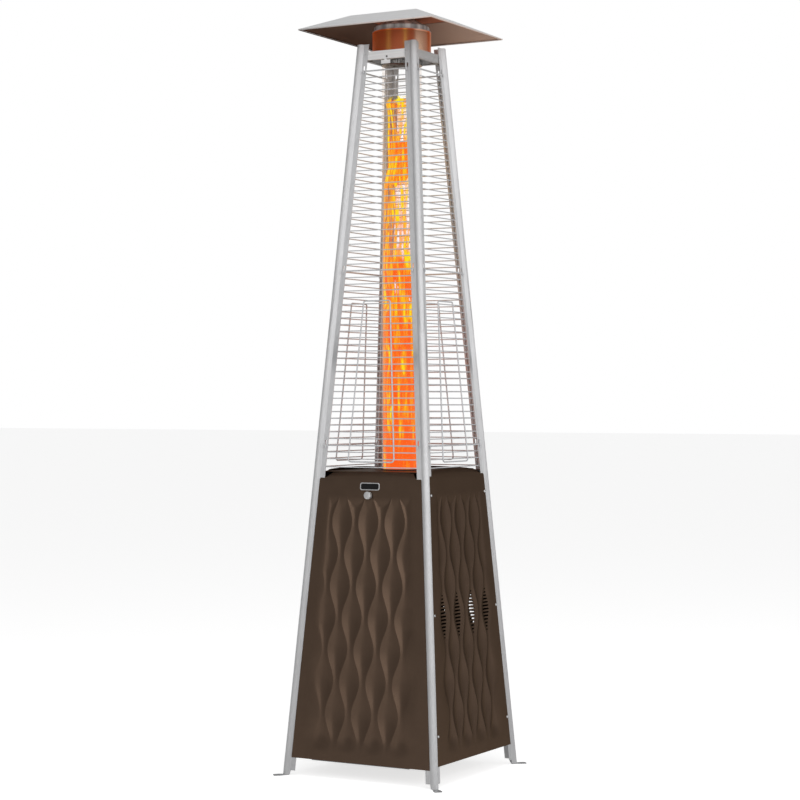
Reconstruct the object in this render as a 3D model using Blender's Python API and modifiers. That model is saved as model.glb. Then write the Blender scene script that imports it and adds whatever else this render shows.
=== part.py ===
"""Pyramid patio heater, built up from its sheet-metal frame, panels, guards, glass tube and burner.

Metres, +Z up, front towards -Y. The origin is on the floor under the centre of the heater.
Every piece is a separate object. Pieces of one side are modelled at the front and turned
about Z in quarter turns to the right (+X), rear and left sides.
"""
import math

import bmesh
import bpy
from mathutils import Matrix, Vector

# Fits
GAP = 0.0003
SLIDE_GAP = 0.0006
CUT_OVERRUN = 0.004
MERGE = 0.00005

# Legs: half spacing of the bead centres at the floor and at the leg tops
FOOT_HALF = 0.2518
HEAD_HALF = 0.0898
LEG_TOP = 2.183
LEG_SHEET = 0.0015
BEAD_RADIUS = 0.0105
FLANGE_STEP = 0.002
FLANGE_WIDTH = 0.016
FLANGE_LIFT = 0.012
FLANGE_NOTCH = 0.0012
BEAD_STEPS = 8

# Foot tabs
TAB_SHEET = 0.0025
TAB_REACH = 0.0395
TAB_INNER = 0.006
TAB_WIDTH = 0.023
TONGUE_WIDTH = 0.012
TONGUE_HEIGHT = 0.045
TAB_HOLE = 0.0035

# Cabinet panels
PANEL_SHEET = 0.0015
PANEL_BOTTOM = 0.062
PANEL_TOP = 0.909
DOOR_DROP = 0.009
SHOULDER_RISE = 0.016
SHOULDER_CROWN = 0.004
SHOULDER_INSET = 0.018
SHOULDER_CLEARANCE = 0.002
SHOULDER_SLANT = 0.018
PANEL_SIDE_GAP = 0.0008
PANEL_CORNER = 0.004
HEM = 0.009

# Pressed lens pattern of the panels, from the crease down
LENS_SPACING = 0.0895
LENS_ROW = 0.0938
LENS_TOP_DROP = 0.128
LENS_SWING = 0.0119
LENS_DEPTH = 0.0075
LENS_MARGIN = 0.040
LENS_LINE_STEP = 0.003
LENS_COLUMNS = 7
FADE_DROP = 0.056
FADE_BOTTOM = 0.028
FADE_LENGTH = 0.042

# Vent slots in the fourth row of lenses
VENT_ROW = 3
VENT_SLOTS = 7
VENT_SPACING = 0.0185
VENT_HEIGHT = 0.008
VENT_WIDEST = 0.036
VENT_NARROWEST = 0.008

# Door furniture
KNOB_RADIUS = 0.0112
KNOB_HEAD = 0.011
KNOB_STEM_RADIUS = 0.006
KNOB_STEM = 0.003
KNOB_EDGE = 0.001
KNOB_DROP = 0.0743
KNOB_BOLT_RADIUS = 0.0025
KNOB_BOLT = 0.006
BADGE_WIDTH = 0.066
BADGE_HEIGHT = 0.022
BADGE_THICKNESS = 0.0018
BADGE_CORNER = 0.004
BADGE_DROP = 0.0478
STRIKE_WIDTH = 0.040
STRIKE_HEIGHT = 0.018
STRIKE_THICKNESS = 0.002
STRIKE_DROP = 0.039
CATCH_WIDTH = 0.032
CATCH_HEIGHT = 0.016

# Base
BASE_RISE = 0.016
BASE_SHEET = 0.0015
BASE_CORNER = 0.016
CYLINDER_RING_RADIUS = 0.118
CYLINDER_RING_WALL = 0.0025
CYLINDER_RING_HEIGHT = 0.016
SILL_SHEET = 0.0015
SILL_WIDTH = 0.330
SILL_TOP_LEG = 0.014
SILL_BOTTOM_LEG = 0.010

# Deck
DECK_DROP = 0.0045
DECK_SHEET = 0.002
DECK_LEDGE = 0.008
DECK_EAR = 0.030

# Glass tube and its rings
TUBE_RADIUS = 0.060
TUBE_WALL = 0.003
SEAT_WALL = 0.003
SEAT_HEIGHT = 0.008
SEAT_FLOOR = 0.002
COLLAR_HEIGHT = 0.012
COLLAR_WALL = 0.002
TUBE_FLOAT = 0.0008

# Top frame
BAR_DROP = 0.022
BAR_HEIGHT = 0.025
BAR_SHEET = 0.0015
BAR_LEG = 0.012
BAR_END_INSET = 0.014
TOP_PLATE_SHEET = 0.0015
TOP_PLATE_CORNER = 0.013
TOP_HOLE_CLEARANCE = 0.0015
TOP_VENT_RADIUS = 0.0055
TOP_VENT_RING = 0.0935
TOP_VENTS = 3
TOP_VENT_STEP = math.radians(10)

# Emitter
SCREEN_STEP = 0.0271
SCREEN_WALL = 0.001
SCREEN_HEIGHT = 0.0854
CAP_WALL = 0.0012
CAP_BAND_INSET = 0.0053
CAP_BAND_HEIGHT = 0.0227
CAP_SLOPE_WIDTH = 0.036
CAP_RISE = 0.0185

# Reflector
REFLECTOR_HALF = 0.2267
REFLECTOR_FLAT_HALF = 0.1125
REFLECTOR_DEPTH = 0.0485
REFLECTOR_SHEET = 0.0014
REFLECTOR_LIP = 0.0035
STUDS = 3
STUD_RING = 0.034
STUD_RADIUS = 0.003
SPACER_RADIUS = 0.006
SPACER_LENGTH = 0.002
STUD_ABOVE = 0.009
NUT_RADIUS = 0.0075
NUT_HEIGHT = 0.005

# Guards
GUARD_ABOVE_PANEL = 0.0065
GUARD_BELOW_BARS = 0.0325
GUARD_THICKNESS = 0.003
GUARD_RAIL = 0.004
GUARD_INSET = 0.017
GUARD_WIRES = 60
GUARD_WIRES_PER_RAIL_FACE = 3
GUARD_FIRST_PITCH = 0.0242
WIRE_WIDTH = 0.003
LOOP_WIRE_RADIUS = 0.0022
LOOP_RISE = 0.0175
LOOP_HEIGHT = 0.477
LOOP_BOTTOM_HALF = 0.0785
LOOP_TOP_HALF = 0.045
LOOP_CORNER = 0.014
LOOP_CORNER_STEPS = 3

# Burner inside the tube
BURNER_RADIUS = 0.034
BURNER_HEIGHT = 0.026
BURNER_DOME = 0.010
BURNER_WALL = 0.0015
BURNER_PORTS = 8
PORT_RADIUS = 0.0035
PAN_RIM = 0.008
PAN_SHEET = 0.002
MIXER_RADIUS = 0.014
MIXER_WALL = 0.0015
MIXER_LENGTH = 0.085
MIXER_MOUTH = 0.019
MIXER_FLARE = 0.020
PIPE_RADIUS = 0.004
PIPE_BEND_STEPS = 4
JET_DEPTH = 0.012
PILOT_RADIUS = 0.005
PILOT_HEIGHT = 0.030
PILOT_OFFSET = 0.043
PILOT_HOOD = 0.012
PROBE_RADIUS = 0.0022
PROBE_HEIGHT = 0.036
PROBE_COLLAR = 0.0045
PROBE_COLLAR_HEIGHT = 0.014
PROBE_ANGLE = math.radians(24)

# Controls under the deck, behind the door
BOX_HALF_WIDTH = 0.080
BOX_SETBACK = 0.0195
BOX_DEPTH = 0.078
BOX_HEIGHT = 0.1072
BOX_SHEET = 0.0015
CONTROL_X = -0.042
IGNITER_X = 0.042
CONTROL_DROP = 0.0695
VALVE_WIDTH = 0.040
VALVE_DEPTH = 0.038
VALVE_HEIGHT = 0.034
STEM_RADIUS = 0.004
STEM_IN_VALVE = 0.012
STEM_PUSH = 0.005
KNOB_PUSH_GAP = 0.0065
DIAL_RADIUS = 0.019
DIAL_DEPTH = 0.019
DIAL_GRIP_WIDTH = 0.009
DIAL_GRIP_RISE = 0.006
DIAL_BORE_DEPTH = 0.012
BEZEL_RADIUS = 0.012
BEZEL_DEPTH = 0.003
BARREL_RADIUS = 0.009
BARREL_LENGTH = 0.036
BUTTON_RADIUS = 0.0065
BUTTON_PROUD = 0.009
BUTTON_TRAVEL = 0.006
INLET_RADIUS = 0.009
INLET_BORE = 0.004
INLET_PROUD = 0.010
TILT_RADIUS = 0.011
TILT_HEIGHT = 0.030
TILT_X = 0.105
TILT_Y = -0.060

# Steps round turned pieces
LARGE_STEPS = 36
MEDIUM_STEPS = 20
SMALL_STEPS = 12
PORT_STEPS = 8
HEX_STEPS = 6

# Sizes that follow from the ones above
LEAN = (FOOT_HALF - HEAD_HALF) / LEG_TOP
TILT = math.atan(LEAN)
BEAD_SIDE = BEAD_RADIUS - FLANGE_STEP * math.sqrt(2)
FLANGE_START = (BEAD_RADIUS + BEAD_SIDE) * math.cos(math.radians(45))
FLANGE_END = FLANGE_START + FLANGE_WIDTH
PANEL_CREASE = PANEL_TOP - SHOULDER_RISE
LENS_TOP_ROW = PANEL_CREASE - PANEL_BOTTOM - LENS_TOP_DROP
FADE_TOP = PANEL_CREASE - PANEL_BOTTOM - FADE_DROP
BASE_Z = PANEL_BOTTOM + BASE_RISE
DECK_TOP = PANEL_TOP - DECK_DROP
DECK_EDGE = FOOT_HALF - LEAN * PANEL_CREASE + FLANGE_STEP - SHOULDER_INSET
DECK_HOLE = TUBE_RADIUS - DECK_LEDGE
BOX_FRONT = DECK_EDGE - BOX_SETBACK
PAN_RADIUS = DECK_HOLE + PAN_RIM
CONTROL_Z = DECK_TOP - CONTROL_DROP
KNOB_Z = PANEL_TOP - KNOB_DROP
BADGE_Z = PANEL_TOP - BADGE_DROP
STRIKE_Z = PANEL_TOP - STRIKE_DROP
BAR_TOP = LEG_TOP - BAR_DROP
BAR_BOTTOM = BAR_TOP - BAR_HEIGHT
GUARD_BOTTOM = PANEL_TOP + GUARD_ABOVE_PANEL
GUARD_TOP = BAR_BOTTOM - GUARD_BELOW_BARS
LOOP_BOTTOM = GUARD_BOTTOM + LOOP_RISE
LOOP_TOP = LOOP_BOTTOM + LOOP_HEIGHT
TOP_HOLE_RADIUS = TUBE_RADIUS + TOP_HOLE_CLEARANCE
SCREEN_RADIUS = TOP_HOLE_RADIUS + SCREEN_STEP
CAP_BAND_RADIUS = SCREEN_RADIUS - CAP_BAND_INSET
CAP_TOP_RADIUS = CAP_BAND_RADIUS - CAP_SLOPE_WIDTH
SCREEN_BOTTOM = BAR_BOTTOM + BAR_SHEET + GAP + TOP_PLATE_SHEET + GAP
SCREEN_TOP = SCREEN_BOTTOM + SCREEN_HEIGHT
CAP_BAND_TOP = SCREEN_TOP + GAP + CAP_BAND_HEIGHT
CAP_TOP = CAP_BAND_TOP + CAP_RISE
REFLECTOR_TOP = CAP_TOP + GAP + SPACER_LENGTH + GAP + REFLECTOR_SHEET
REFLECTOR_RIM = REFLECTOR_TOP - REFLECTOR_DEPTH
QUARTER = math.radians(90)
SIDES = {"front": 0, "right": 1, "rear": 2, "left": 3}


def post_at(z):
    """Half spacing of the bead centres at a height."""
    return FOOT_HALF - LEAN * z


def flange_outside(z):
    return post_at(z) + FLANGE_STEP


def flange_inside(z):
    return flange_outside(z) - LEG_SHEET


def panel_outside(z):
    return flange_outside(z) + GAP + PANEL_SHEET


def panel_inside(z):
    return flange_outside(z) + GAP


def clear_scene():
    for old in list(bpy.data.objects):
        bpy.data.objects.remove(old, do_unlink=True)


def new_collection(name):
    collection = bpy.data.collections.new(name)
    bpy.context.scene.collection.children.link(collection)
    return collection


def finish_material(name, color, roughness, metallic, alpha=1.0):
    material = bpy.data.materials.new(name)
    material.use_nodes = True
    shader = material.node_tree.nodes["Principled BSDF"]
    shader.inputs["Base Color"].default_value = (*color, 1.0)
    shader.inputs["Roughness"].default_value = roughness
    shader.inputs["Metallic"].default_value = metallic
    shader.inputs["Alpha"].default_value = alpha
    return material


def add_mesh(name, bm, material, collection, turn=0.0):
    """Write a bmesh to a new object, turned about Z by an angle."""
    mesh = bpy.data.meshes.new(name)
    bm.to_mesh(mesh)
    bm.free()
    mesh.shade_smooth()
    mesh.set_sharp_from_angle(angle=math.radians(35))
    obj = bpy.data.objects.new(name, mesh)
    obj.rotation_euler = (0, 0, turn)
    if material is not None:
        mesh.materials.append(material)
    collection.objects.link(obj)
    return obj


def add_cutter(name, bm, turn=0.0):
    cutter = add_mesh(name, bm, None, CUTTERS, turn)
    cutter.hide_render = True
    cutter.display_type = "WIRE"
    return cutter


def cut(obj, cutter):
    boolean = obj.modifiers.new("cut " + cutter.name, "BOOLEAN")
    boolean.operation = "DIFFERENCE"
    boolean.solver = "EXACT"
    boolean.object = cutter


def join(obj, other):
    boolean = obj.modifiers.new("join " + other.name, "BOOLEAN")
    boolean.operation = "UNION"
    boolean.solver = "EXACT"
    boolean.object = other


def thicken(obj, thickness, offset):
    shell = obj.modifiers.new("sheet", "SOLIDIFY")
    shell.thickness = thickness
    shell.offset = offset
    shell.use_even_offset = True


def box(size, centre):
    bm = bmesh.new()
    bmesh.ops.create_cube(bm, size=1.0)
    bmesh.ops.scale(bm, vec=size, verts=bm.verts)
    bmesh.ops.translate(bm, vec=centre, verts=bm.verts)
    return bm


def rod(radius, length, centre, steps, axis="Z"):
    """Solid cylinder about a point, along Z or Y."""
    bm = bmesh.new()
    bmesh.ops.create_cone(bm, cap_ends=True, segments=steps, radius1=radius, radius2=radius, depth=length)
    if axis == "Y":
        bmesh.ops.rotate(bm, verts=bm.verts, cent=(0, 0, 0), matrix=Matrix.Rotation(QUARTER, 3, "X"))
    bmesh.ops.translate(bm, vec=centre, verts=bm.verts)
    return bm


def turned(name, profile, material, collection, steps, closed=True):
    """Turn a profile of (radius, height) points about Z. A closed profile makes a ring."""
    bm = bmesh.new()
    points = [bm.verts.new((radius, 0, height)) for radius, height in profile]
    for first, second in zip(points, points[1:]):
        bm.edges.new((first, second))
    if closed:
        bm.edges.new((points[-1], points[0]))
    mesh = bpy.data.meshes.new(name)
    bm.to_mesh(mesh)
    bm.free()
    obj = bpy.data.objects.new(name, mesh)
    mesh.materials.append(material)
    collection.objects.link(obj)
    screw = obj.modifiers.new("turn", "SCREW")
    screw.axis = "Z"
    screw.angle = 2 * math.pi
    screw.steps = steps
    screw.render_steps = steps
    screw.use_merge_vertices = True
    screw.merge_threshold = MERGE
    screw.use_smooth_shade = True
    return obj


def grid_sheet(columns, rows, place):
    """Open surface whose points are given by place(column, row)."""
    bm = bmesh.new()
    bmesh.ops.create_grid(bm, x_segments=columns - 1, y_segments=rows - 1, size=1.0)
    for vert in bm.verts:
        column = round((vert.co.x + 1) / 2 * (columns - 1))
        row = round((vert.co.y + 1) / 2 * (rows - 1))
        vert.co = place(column, row)
    return bm


def flat_plate(name, outline, holes, thickness, material, collection, matrix):
    """Flat plate from a 2D curve: outline and holes as lists of (x, y), moved by a matrix."""
    curve = bpy.data.curves.new(name, "CURVE")
    curve.dimensions = "2D"
    curve.fill_mode = "BOTH"
    curve.extrude = thickness / 2
    for ring in [outline] + holes:
        spline = curve.splines.new("POLY")
        spline.points.add(len(ring) - 1)
        spline.use_cyclic_u = True
        for point, (x, y) in zip(spline.points, ring):
            point.co = (x, y, 0, 1)
    drawn = bpy.data.objects.new(name + " outline", curve)
    collection.objects.link(drawn)
    bpy.context.view_layer.update()
    depsgraph = bpy.context.evaluated_depsgraph_get()
    mesh = bpy.data.meshes.new_from_object(drawn.evaluated_get(depsgraph))
    bpy.data.objects.remove(drawn, do_unlink=True)
    bm = bmesh.new()
    bm.from_mesh(mesh)
    bpy.data.meshes.remove(mesh)
    bmesh.ops.remove_doubles(bm, verts=bm.verts, dist=MERGE)
    bmesh.ops.transform(bm, matrix=matrix, verts=bm.verts)
    return add_mesh(name, bm, material, collection)


def circle(radius, steps, centre=(0, 0)):
    points = []
    for step in range(steps):
        angle = step / steps * 2 * math.pi
        points.append((centre[0] + radius * math.cos(angle), centre[1] + radius * math.sin(angle)))
    return points


def rounded_rectangle(half_width, half_height, corner, steps):
    points = []
    for quadrant, (sx, sy) in enumerate(((1, 1), (-1, 1), (-1, -1), (1, -1))):
        for step in range(steps + 1):
            angle = (quadrant + step / steps) * QUARTER
            x = sx * (half_width - corner) + corner * math.cos(angle)
            y = sy * (half_height - corner) + corner * math.sin(angle)
            points.append((x, y))
    return points


def chamfered_square(half, corner):
    inner = half - corner
    return [(half, -inner), (half, inner), (inner, half), (-inner, half),
            (-half, inner), (-half, -inner), (-inner, -half), (inner, -half)]


def leg_profile():
    """Outside of a front right leg, seen from above, from the left flange round the bead."""
    middle = math.radians(-45)
    inward = Vector((-math.cos(middle), -math.sin(middle)))
    points = [Vector((-FLANGE_END, -FLANGE_STEP)), Vector((-FLANGE_START - FLANGE_NOTCH, -FLANGE_STEP))]
    start = middle - QUARTER
    arc = []
    for step in range(BEAD_STEPS + 1):
        angle = start + step / BEAD_STEPS * math.pi
        arc.append(BEAD_RADIUS * Vector((math.cos(angle), math.sin(angle))))
    points.append(arc[0] + BEAD_SIDE * inward)
    points.extend(arc)
    points.append(arc[-1] + BEAD_SIDE * inward)
    points.append(Vector((FLANGE_STEP, FLANGE_START + FLANGE_NOTCH)))
    points.append(Vector((FLANGE_STEP, FLANGE_END)))
    return points


def build_leg(name, corner):
    profile = leg_profile()
    last = len(profile) - 1
    bottom = TAB_SHEET + GAP

    def place(column, row):
        point = profile[column]
        on_flange = column < 2 or column > last - 2
        z = LEG_TOP if row else bottom + (FLANGE_LIFT if on_flange else 0)
        return Vector((post_at(z) + point.x, -post_at(z) + point.y, z))

    leg = add_mesh(name, grid_sheet(last + 1, 2, place), STEEL, HEATER, corner * QUARTER)
    thicken(leg, LEG_SHEET, -1)
    return leg


def build_foot(name, corner):
    """Tab turned outwards at the floor, with a tongue that stands inside the bead."""
    outward = Vector((1, -1)).normalized()
    sideways = Vector((1, 1)).normalized()
    tongue_top = TAB_SHEET + TONGUE_HEIGHT
    middle = TAB_REACH * 0.5
    corner_share = 0.14
    half = TAB_WIDTH / 2
    tongue_half = TONGUE_WIDTH / 2
    corner_cut = TAB_WIDTH * corner_share
    stations = [(TAB_REACH, 0, half - corner_cut), (TAB_REACH - corner_cut, 0, half), (middle, 0, half),
                (0, 0, tongue_half), (-TAB_INNER, 0, tongue_half), (-TAB_INNER, tongue_top, tongue_half)]

    def place(column, row):
        reach, z, half = stations[row]
        centre = Vector((FOOT_HALF, -FOOT_HALF)) + reach * outward
        if z:
            lean = LEAN * z
            centre += Vector((-lean, lean))
        side = centre + (2 * column - 1) * half * sideways
        return Vector((side.x, side.y, z))

    foot = add_mesh(name, grid_sheet(2, len(stations), place), STEEL, HEATER, corner * QUARTER)
    thicken(foot, TAB_SHEET, 1)
    hole_at = Vector((FOOT_HALF, -FOOT_HALF)) + (TAB_REACH + BEAD_RADIUS) * 0.5 * outward
    hole = rod(TAB_HOLE, 2 * (TAB_SHEET + CUT_OVERRUN), (hole_at.x, hole_at.y, 0), SMALL_STEPS)
    cut(foot, add_cutter(name + " screw hole", hole, corner * QUARTER))
    return foot


def lens_half_width(column, height):
    """Half width of a lens column at a height above the panel's bottom edge."""
    sign = 1 if column % 2 == 0 else -1
    wave = math.cos(math.pi * (height - LENS_TOP_ROW) / LENS_ROW)
    return LENS_SPACING / 4 + sign * LENS_SWING * wave


def lens_fade(height):
    top = min(1.0, max(0.0, (FADE_TOP - height) / FADE_LENGTH))
    bottom = min(1.0, max(0.0, (height - FADE_BOTTOM) / FADE_LENGTH))
    return min(top, bottom)


def panel_lines(height, half):
    """Upright lines of the pressing from left to right: (x, depth) pairs at a height."""
    side = LENS_COLUMNS // 2
    lines = []
    for index, column in enumerate(range(-side, side + 1)):
        centre = column * LENS_SPACING / 2
        reach = lens_half_width(column, height)
        lines.append((centre - reach, False))
        lines.append((centre, True))
    lines.append((side * LENS_SPACING / 2 + lens_half_width(side, height), False))
    limit = half - LENS_MARGIN
    placed = []
    for index, (x, dished) in enumerate(lines):
        low = -limit + index * LENS_LINE_STEP
        high = limit - (len(lines) - 1 - index) * LENS_LINE_STEP
        placed.append(min(high, max(low, x)))
    widest = LENS_SPACING / 4 + LENS_SWING
    result = []
    for index, x in enumerate(placed):
        depth = 0.0
        if lines[index][1]:
            local = (placed[index + 1] - placed[index - 1]) / 2
            depth = LENS_DEPTH * min(local / widest, lens_fade(height))
        result.append((x, depth))
    return result


def build_panel(name, side, drop, vented):
    """Pressed side panel: bottom hem, dished lenses, crease and sloping shoulder."""
    bottom = PANEL_BOTTOM - drop
    crease = PANEL_CREASE - drop
    top = PANEL_TOP - drop
    half_rows = int((LENS_TOP_ROW - FADE_BOTTOM) / (LENS_ROW / 2))
    lens_levels = [LENS_TOP_ROW - step * LENS_ROW / 2 for step in range(-1, half_rows + 1)]
    levels = [bottom, bottom + PANEL_CORNER] + [bottom + height for height in reversed(lens_levels)]
    levels += [bottom + FADE_TOP, crease]
    hem_row = 0
    shoulder_row = len(levels) + 1
    columns = 2 * LENS_COLUMNS + 1 + 4

    def place(column, row):
        z = levels[min(max(row - 1, 0), len(levels) - 1)]
        half = post_at(z) - FLANGE_START - PANEL_SIDE_GAP
        inner_half = post_at(z) - FLANGE_END - SHOULDER_CLEARANCE
        edge = min(column, columns - 1 - column)
        sign = -1 if column < columns / 2 else 1
        depth = 0.0
        if edge == 0:
            x = sign * (half - (PANEL_CORNER if z == bottom else 0))
        elif edge == 1:
            x = sign * inner_half
        else:
            x, depth = panel_lines(z - bottom, half)[column - 2]
        y = -panel_outside(z) + depth
        if row == hem_row:
            y += HEM
        if row == shoulder_row:
            y += SHOULDER_INSET
            shoulder_share = (inner_half - SHOULDER_SLANT) / inner_half
            z = top + SHOULDER_CROWN * (1 - (x / inner_half) ** 2)
            x *= shoulder_share if edge else 1
        return Vector((x, y, z))

    bm = grid_sheet(columns, len(levels) + 2, place)
    hem_half = post_at(bottom) - FLANGE_START - PANEL_SIDE_GAP - LENS_MARGIN
    shoulder_half = post_at(crease) - FLANGE_END - GAP
    spare = []
    for face in bm.faces:
        reach = max(abs(vert.co.x) for vert in face.verts)
        middle = face.calc_center_median().z
        in_hem = middle < bottom + MERGE and reach > hem_half + MERGE
        in_shoulder = middle > crease and reach > shoulder_half
        if in_hem or in_shoulder:
            spare.append(face)
    bmesh.ops.delete(bm, geom=spare, context="FACES")
    panel = add_mesh(name, bm, PAINT, HEATER, side * QUARTER)
    thicken(panel, PANEL_SHEET, -1)
    if vented:
        cut(panel, add_cutter(name + " vents", vent_cutters(bottom), side * QUARTER))
    return panel


def vent_cutters(bottom):
    """Slots that fill the middle of the four full lenses of one row."""
    bm = bmesh.new()
    centre_z = bottom + LENS_TOP_ROW - VENT_ROW * LENS_ROW
    group_columns = [column for column in range(-(LENS_COLUMNS // 2), LENS_COLUMNS // 2 + 1) if column % 2]
    for column in group_columns:
        for slot in range(VENT_SLOTS):
            offset = slot - (VENT_SLOTS - 1) / 2
            share = math.cos(offset / VENT_SLOTS * math.pi)
            width = VENT_NARROWEST + (VENT_WIDEST - VENT_NARROWEST) * share
            z = centre_z + offset * VENT_SPACING
            made = bmesh.ops.create_cube(bm, size=1.0)["verts"]
            reach = 2 * (LENS_DEPTH + PANEL_SHEET + CUT_OVERRUN)
            bmesh.ops.scale(bm, vec=(width, reach, VENT_HEIGHT), verts=made)
            bmesh.ops.translate(bm, vec=(column * LENS_SPACING / 2, -panel_inside(z), z), verts=made)
    return bm


def build_guard(side_name):
    """Welded wire guard: side rails and cross wires, lying behind the leg flanges."""
    side = SIDES[side_name]
    rise = (GUARD_TOP - GUARD_BOTTOM) / math.cos(TILT)
    pitch = (rise - WIRE_WIDTH - GUARD_FIRST_PITCH) / (GUARD_WIRES - 2)

    def place(column, row):
        wire = row // 2
        height = row % 2 * WIRE_WIDTH
        if wire:
            height += GUARD_FIRST_PITCH + (wire - 1) * pitch
        z = GUARD_BOTTOM + height * math.cos(TILT)
        half = post_at(z) - GUARD_INSET
        edge = min(column, 3 - column)
        x = (half - edge * GUARD_RAIL) * (-1 if column < 2 else 1)
        return Vector((x, -flange_inside(z) + GAP, z))

    bm = grid_sheet(4, 2 * GUARD_WIRES, place)
    rails = {}
    openings = []
    for index, face in enumerate(bm.faces):
        row, column = divmod(index, 3)
        if column != 1:
            rails.setdefault((column, row // 2 // GUARD_WIRES_PER_RAIL_FACE), []).append(face)
        elif row % 2:
            openings.append(face)
    bmesh.ops.delete(bm, geom=openings, context="FACES")
    for rail in rails.values():
        bmesh.ops.dissolve_faces(bm, faces=rail, use_verts=True)
    guard = add_mesh("guard_" + side_name, bm, WIRE_STEEL, HEATER, side * QUARTER)
    thicken(guard, GUARD_THICKNESS, -1)
    return guard


def build_loop(side_name):
    """Closed wire loop with round corners, welded to the face of a guard."""
    side = SIDES[side_name]
    corners = [Vector((-LOOP_BOTTOM_HALF, 0)), Vector((LOOP_BOTTOM_HALF, 0)),
               Vector((LOOP_TOP_HALF, (LOOP_TOP - LOOP_BOTTOM) / math.cos(TILT))),
               Vector((-LOOP_TOP_HALF, (LOOP_TOP - LOOP_BOTTOM) / math.cos(TILT)))]
    route = []
    for index, corner in enumerate(corners):
        before = (corners[index - 1] - corner).normalized()
        after = (corners[(index + 1) % len(corners)] - corner).normalized()
        for step in range(LOOP_CORNER_STEPS + 1):
            share = step / LOOP_CORNER_STEPS
            first = corner + LOOP_CORNER * (1 - share) * before
            second = corner + LOOP_CORNER * share * after
            route.append(first + (second - first) * share)
    curve = bpy.data.curves.new("guard_loop_" + side_name, "CURVE")
    curve.dimensions = "3D"
    curve.bevel_depth = LOOP_WIRE_RADIUS
    curve.bevel_resolution = 1
    spline = curve.splines.new("POLY")
    spline.points.add(len(route) - 1)
    spline.use_cyclic_u = True
    for point, place in zip(spline.points, route):
        point.co = (place.x, place.y, 0, 1)
    curve.materials.append(WIRE_STEEL)
    loop = bpy.data.objects.new("guard_loop_" + side_name, curve)
    HEATER.objects.link(loop)
    face = flange_inside(LOOP_BOTTOM) - GAP + (GAP + LOOP_WIRE_RADIUS) / math.cos(TILT)
    spin = Matrix.Rotation(side * QUARTER, 4, "Z")
    loop.matrix_world = (spin @ Matrix.Translation((0, -face, LOOP_BOTTOM))
                         @ Matrix.Rotation(QUARTER - TILT, 4, "X"))
    return loop


def build_base():
    """Base plate that the gas cylinder stands on, its locating ring and the sill under the door."""
    half = flange_inside(BASE_Z) - GAP
    place = Matrix.Translation((0, 0, BASE_Z - BASE_SHEET / 2))
    flat_plate("base_plate", chamfered_square(half, BASE_CORNER), [], BASE_SHEET, PAINT, HEATER, place)
    low = BASE_Z + GAP
    high = low + CYLINDER_RING_HEIGHT
    inner = CYLINDER_RING_RADIUS - CYLINDER_RING_WALL
    ring = [(CYLINDER_RING_RADIUS, high), (CYLINDER_RING_RADIUS, low), (inner, low), (inner, high)]
    turned("cylinder_ring", ring, PAINT, HEATER, LARGE_STEPS)
    door_bottom = PANEL_BOTTOM - DOOR_DROP
    top = BASE_Z - BASE_SHEET - GAP
    ledge = door_bottom - GAP
    web = panel_outside(door_bottom) - SILL_BOTTOM_LEG - PANEL_SHEET
    path = [(-web + SILL_TOP_LEG, top), (-web, top), (-web, ledge), (-web - SILL_BOTTOM_LEG, ledge)]

    def sill_point(column, row):
        y, z = path[row]
        return Vector(((column - 0.5) * SILL_WIDTH, y, z))

    sill = add_mesh("door_sill", grid_sheet(2, len(path), sill_point), STEEL, HEATER)
    thicken(sill, SILL_SHEET, 1)


def build_deck():
    """Deck plate: inside the panel shoulders, with ears that reach out to the leg flanges."""
    low = DECK_TOP - DECK_SHEET
    ear_half = flange_inside(DECK_TOP) - GAP
    notch = ear_half - DECK_EAR
    corner = BEAD_RADIUS
    quarter = [(DECK_EDGE, notch), (ear_half, notch), (ear_half, ear_half - corner),
               (ear_half - corner, ear_half), (notch, ear_half), (notch, DECK_EDGE)]
    outline = []
    for turn in range(4):
        spin = Matrix.Rotation(turn * QUARTER, 2)
        outline += [tuple(spin @ Vector(point)) for point in quarter]
    place = Matrix.Translation((0, 0, low + DECK_SHEET / 2))
    flat_plate("deck_plate", outline, [circle(DECK_HOLE, MEDIUM_STEPS)], DECK_SHEET, PAINT, HEATER, place)


def build_tube():
    """Glass tube, the seat ring that it stands in and the collar round its top end."""
    seat_low = DECK_TOP + GAP
    tube_low = seat_low + SEAT_FLOOR + GAP
    seat_bore = TUBE_RADIUS + GAP
    lip = TUBE_RADIUS - TUBE_WALL
    seat_outer = seat_bore + SEAT_WALL
    seat_high = seat_low + SEAT_HEIGHT
    seat = [(seat_outer, seat_high), (seat_outer, seat_low), (lip, seat_low), (lip, seat_low + SEAT_FLOOR),
            (seat_bore, seat_low + SEAT_FLOOR), (seat_bore, seat_high)]
    turned("tube_seat", seat, RUBBER, HEATER, LARGE_STEPS)
    plate_low = BAR_BOTTOM + BAR_SHEET + GAP
    tube_high = plate_low + TOP_PLATE_SHEET / 2
    tube = [(TUBE_RADIUS, tube_high), (TUBE_RADIUS, tube_low), (lip, tube_low), (lip, tube_high)]
    turned("glass_tube", tube, GLASS, HEATER, LARGE_STEPS)
    collar_high = plate_low - GAP
    collar_low = collar_high - COLLAR_HEIGHT
    bore = TUBE_RADIUS + TUBE_FLOAT
    collar = [(bore + COLLAR_WALL, collar_high), (bore + COLLAR_WALL, collar_low), (bore, collar_low),
              (bore, collar_high)]
    turned("tube_collar", collar, STEEL, HEATER, LARGE_STEPS)


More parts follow.
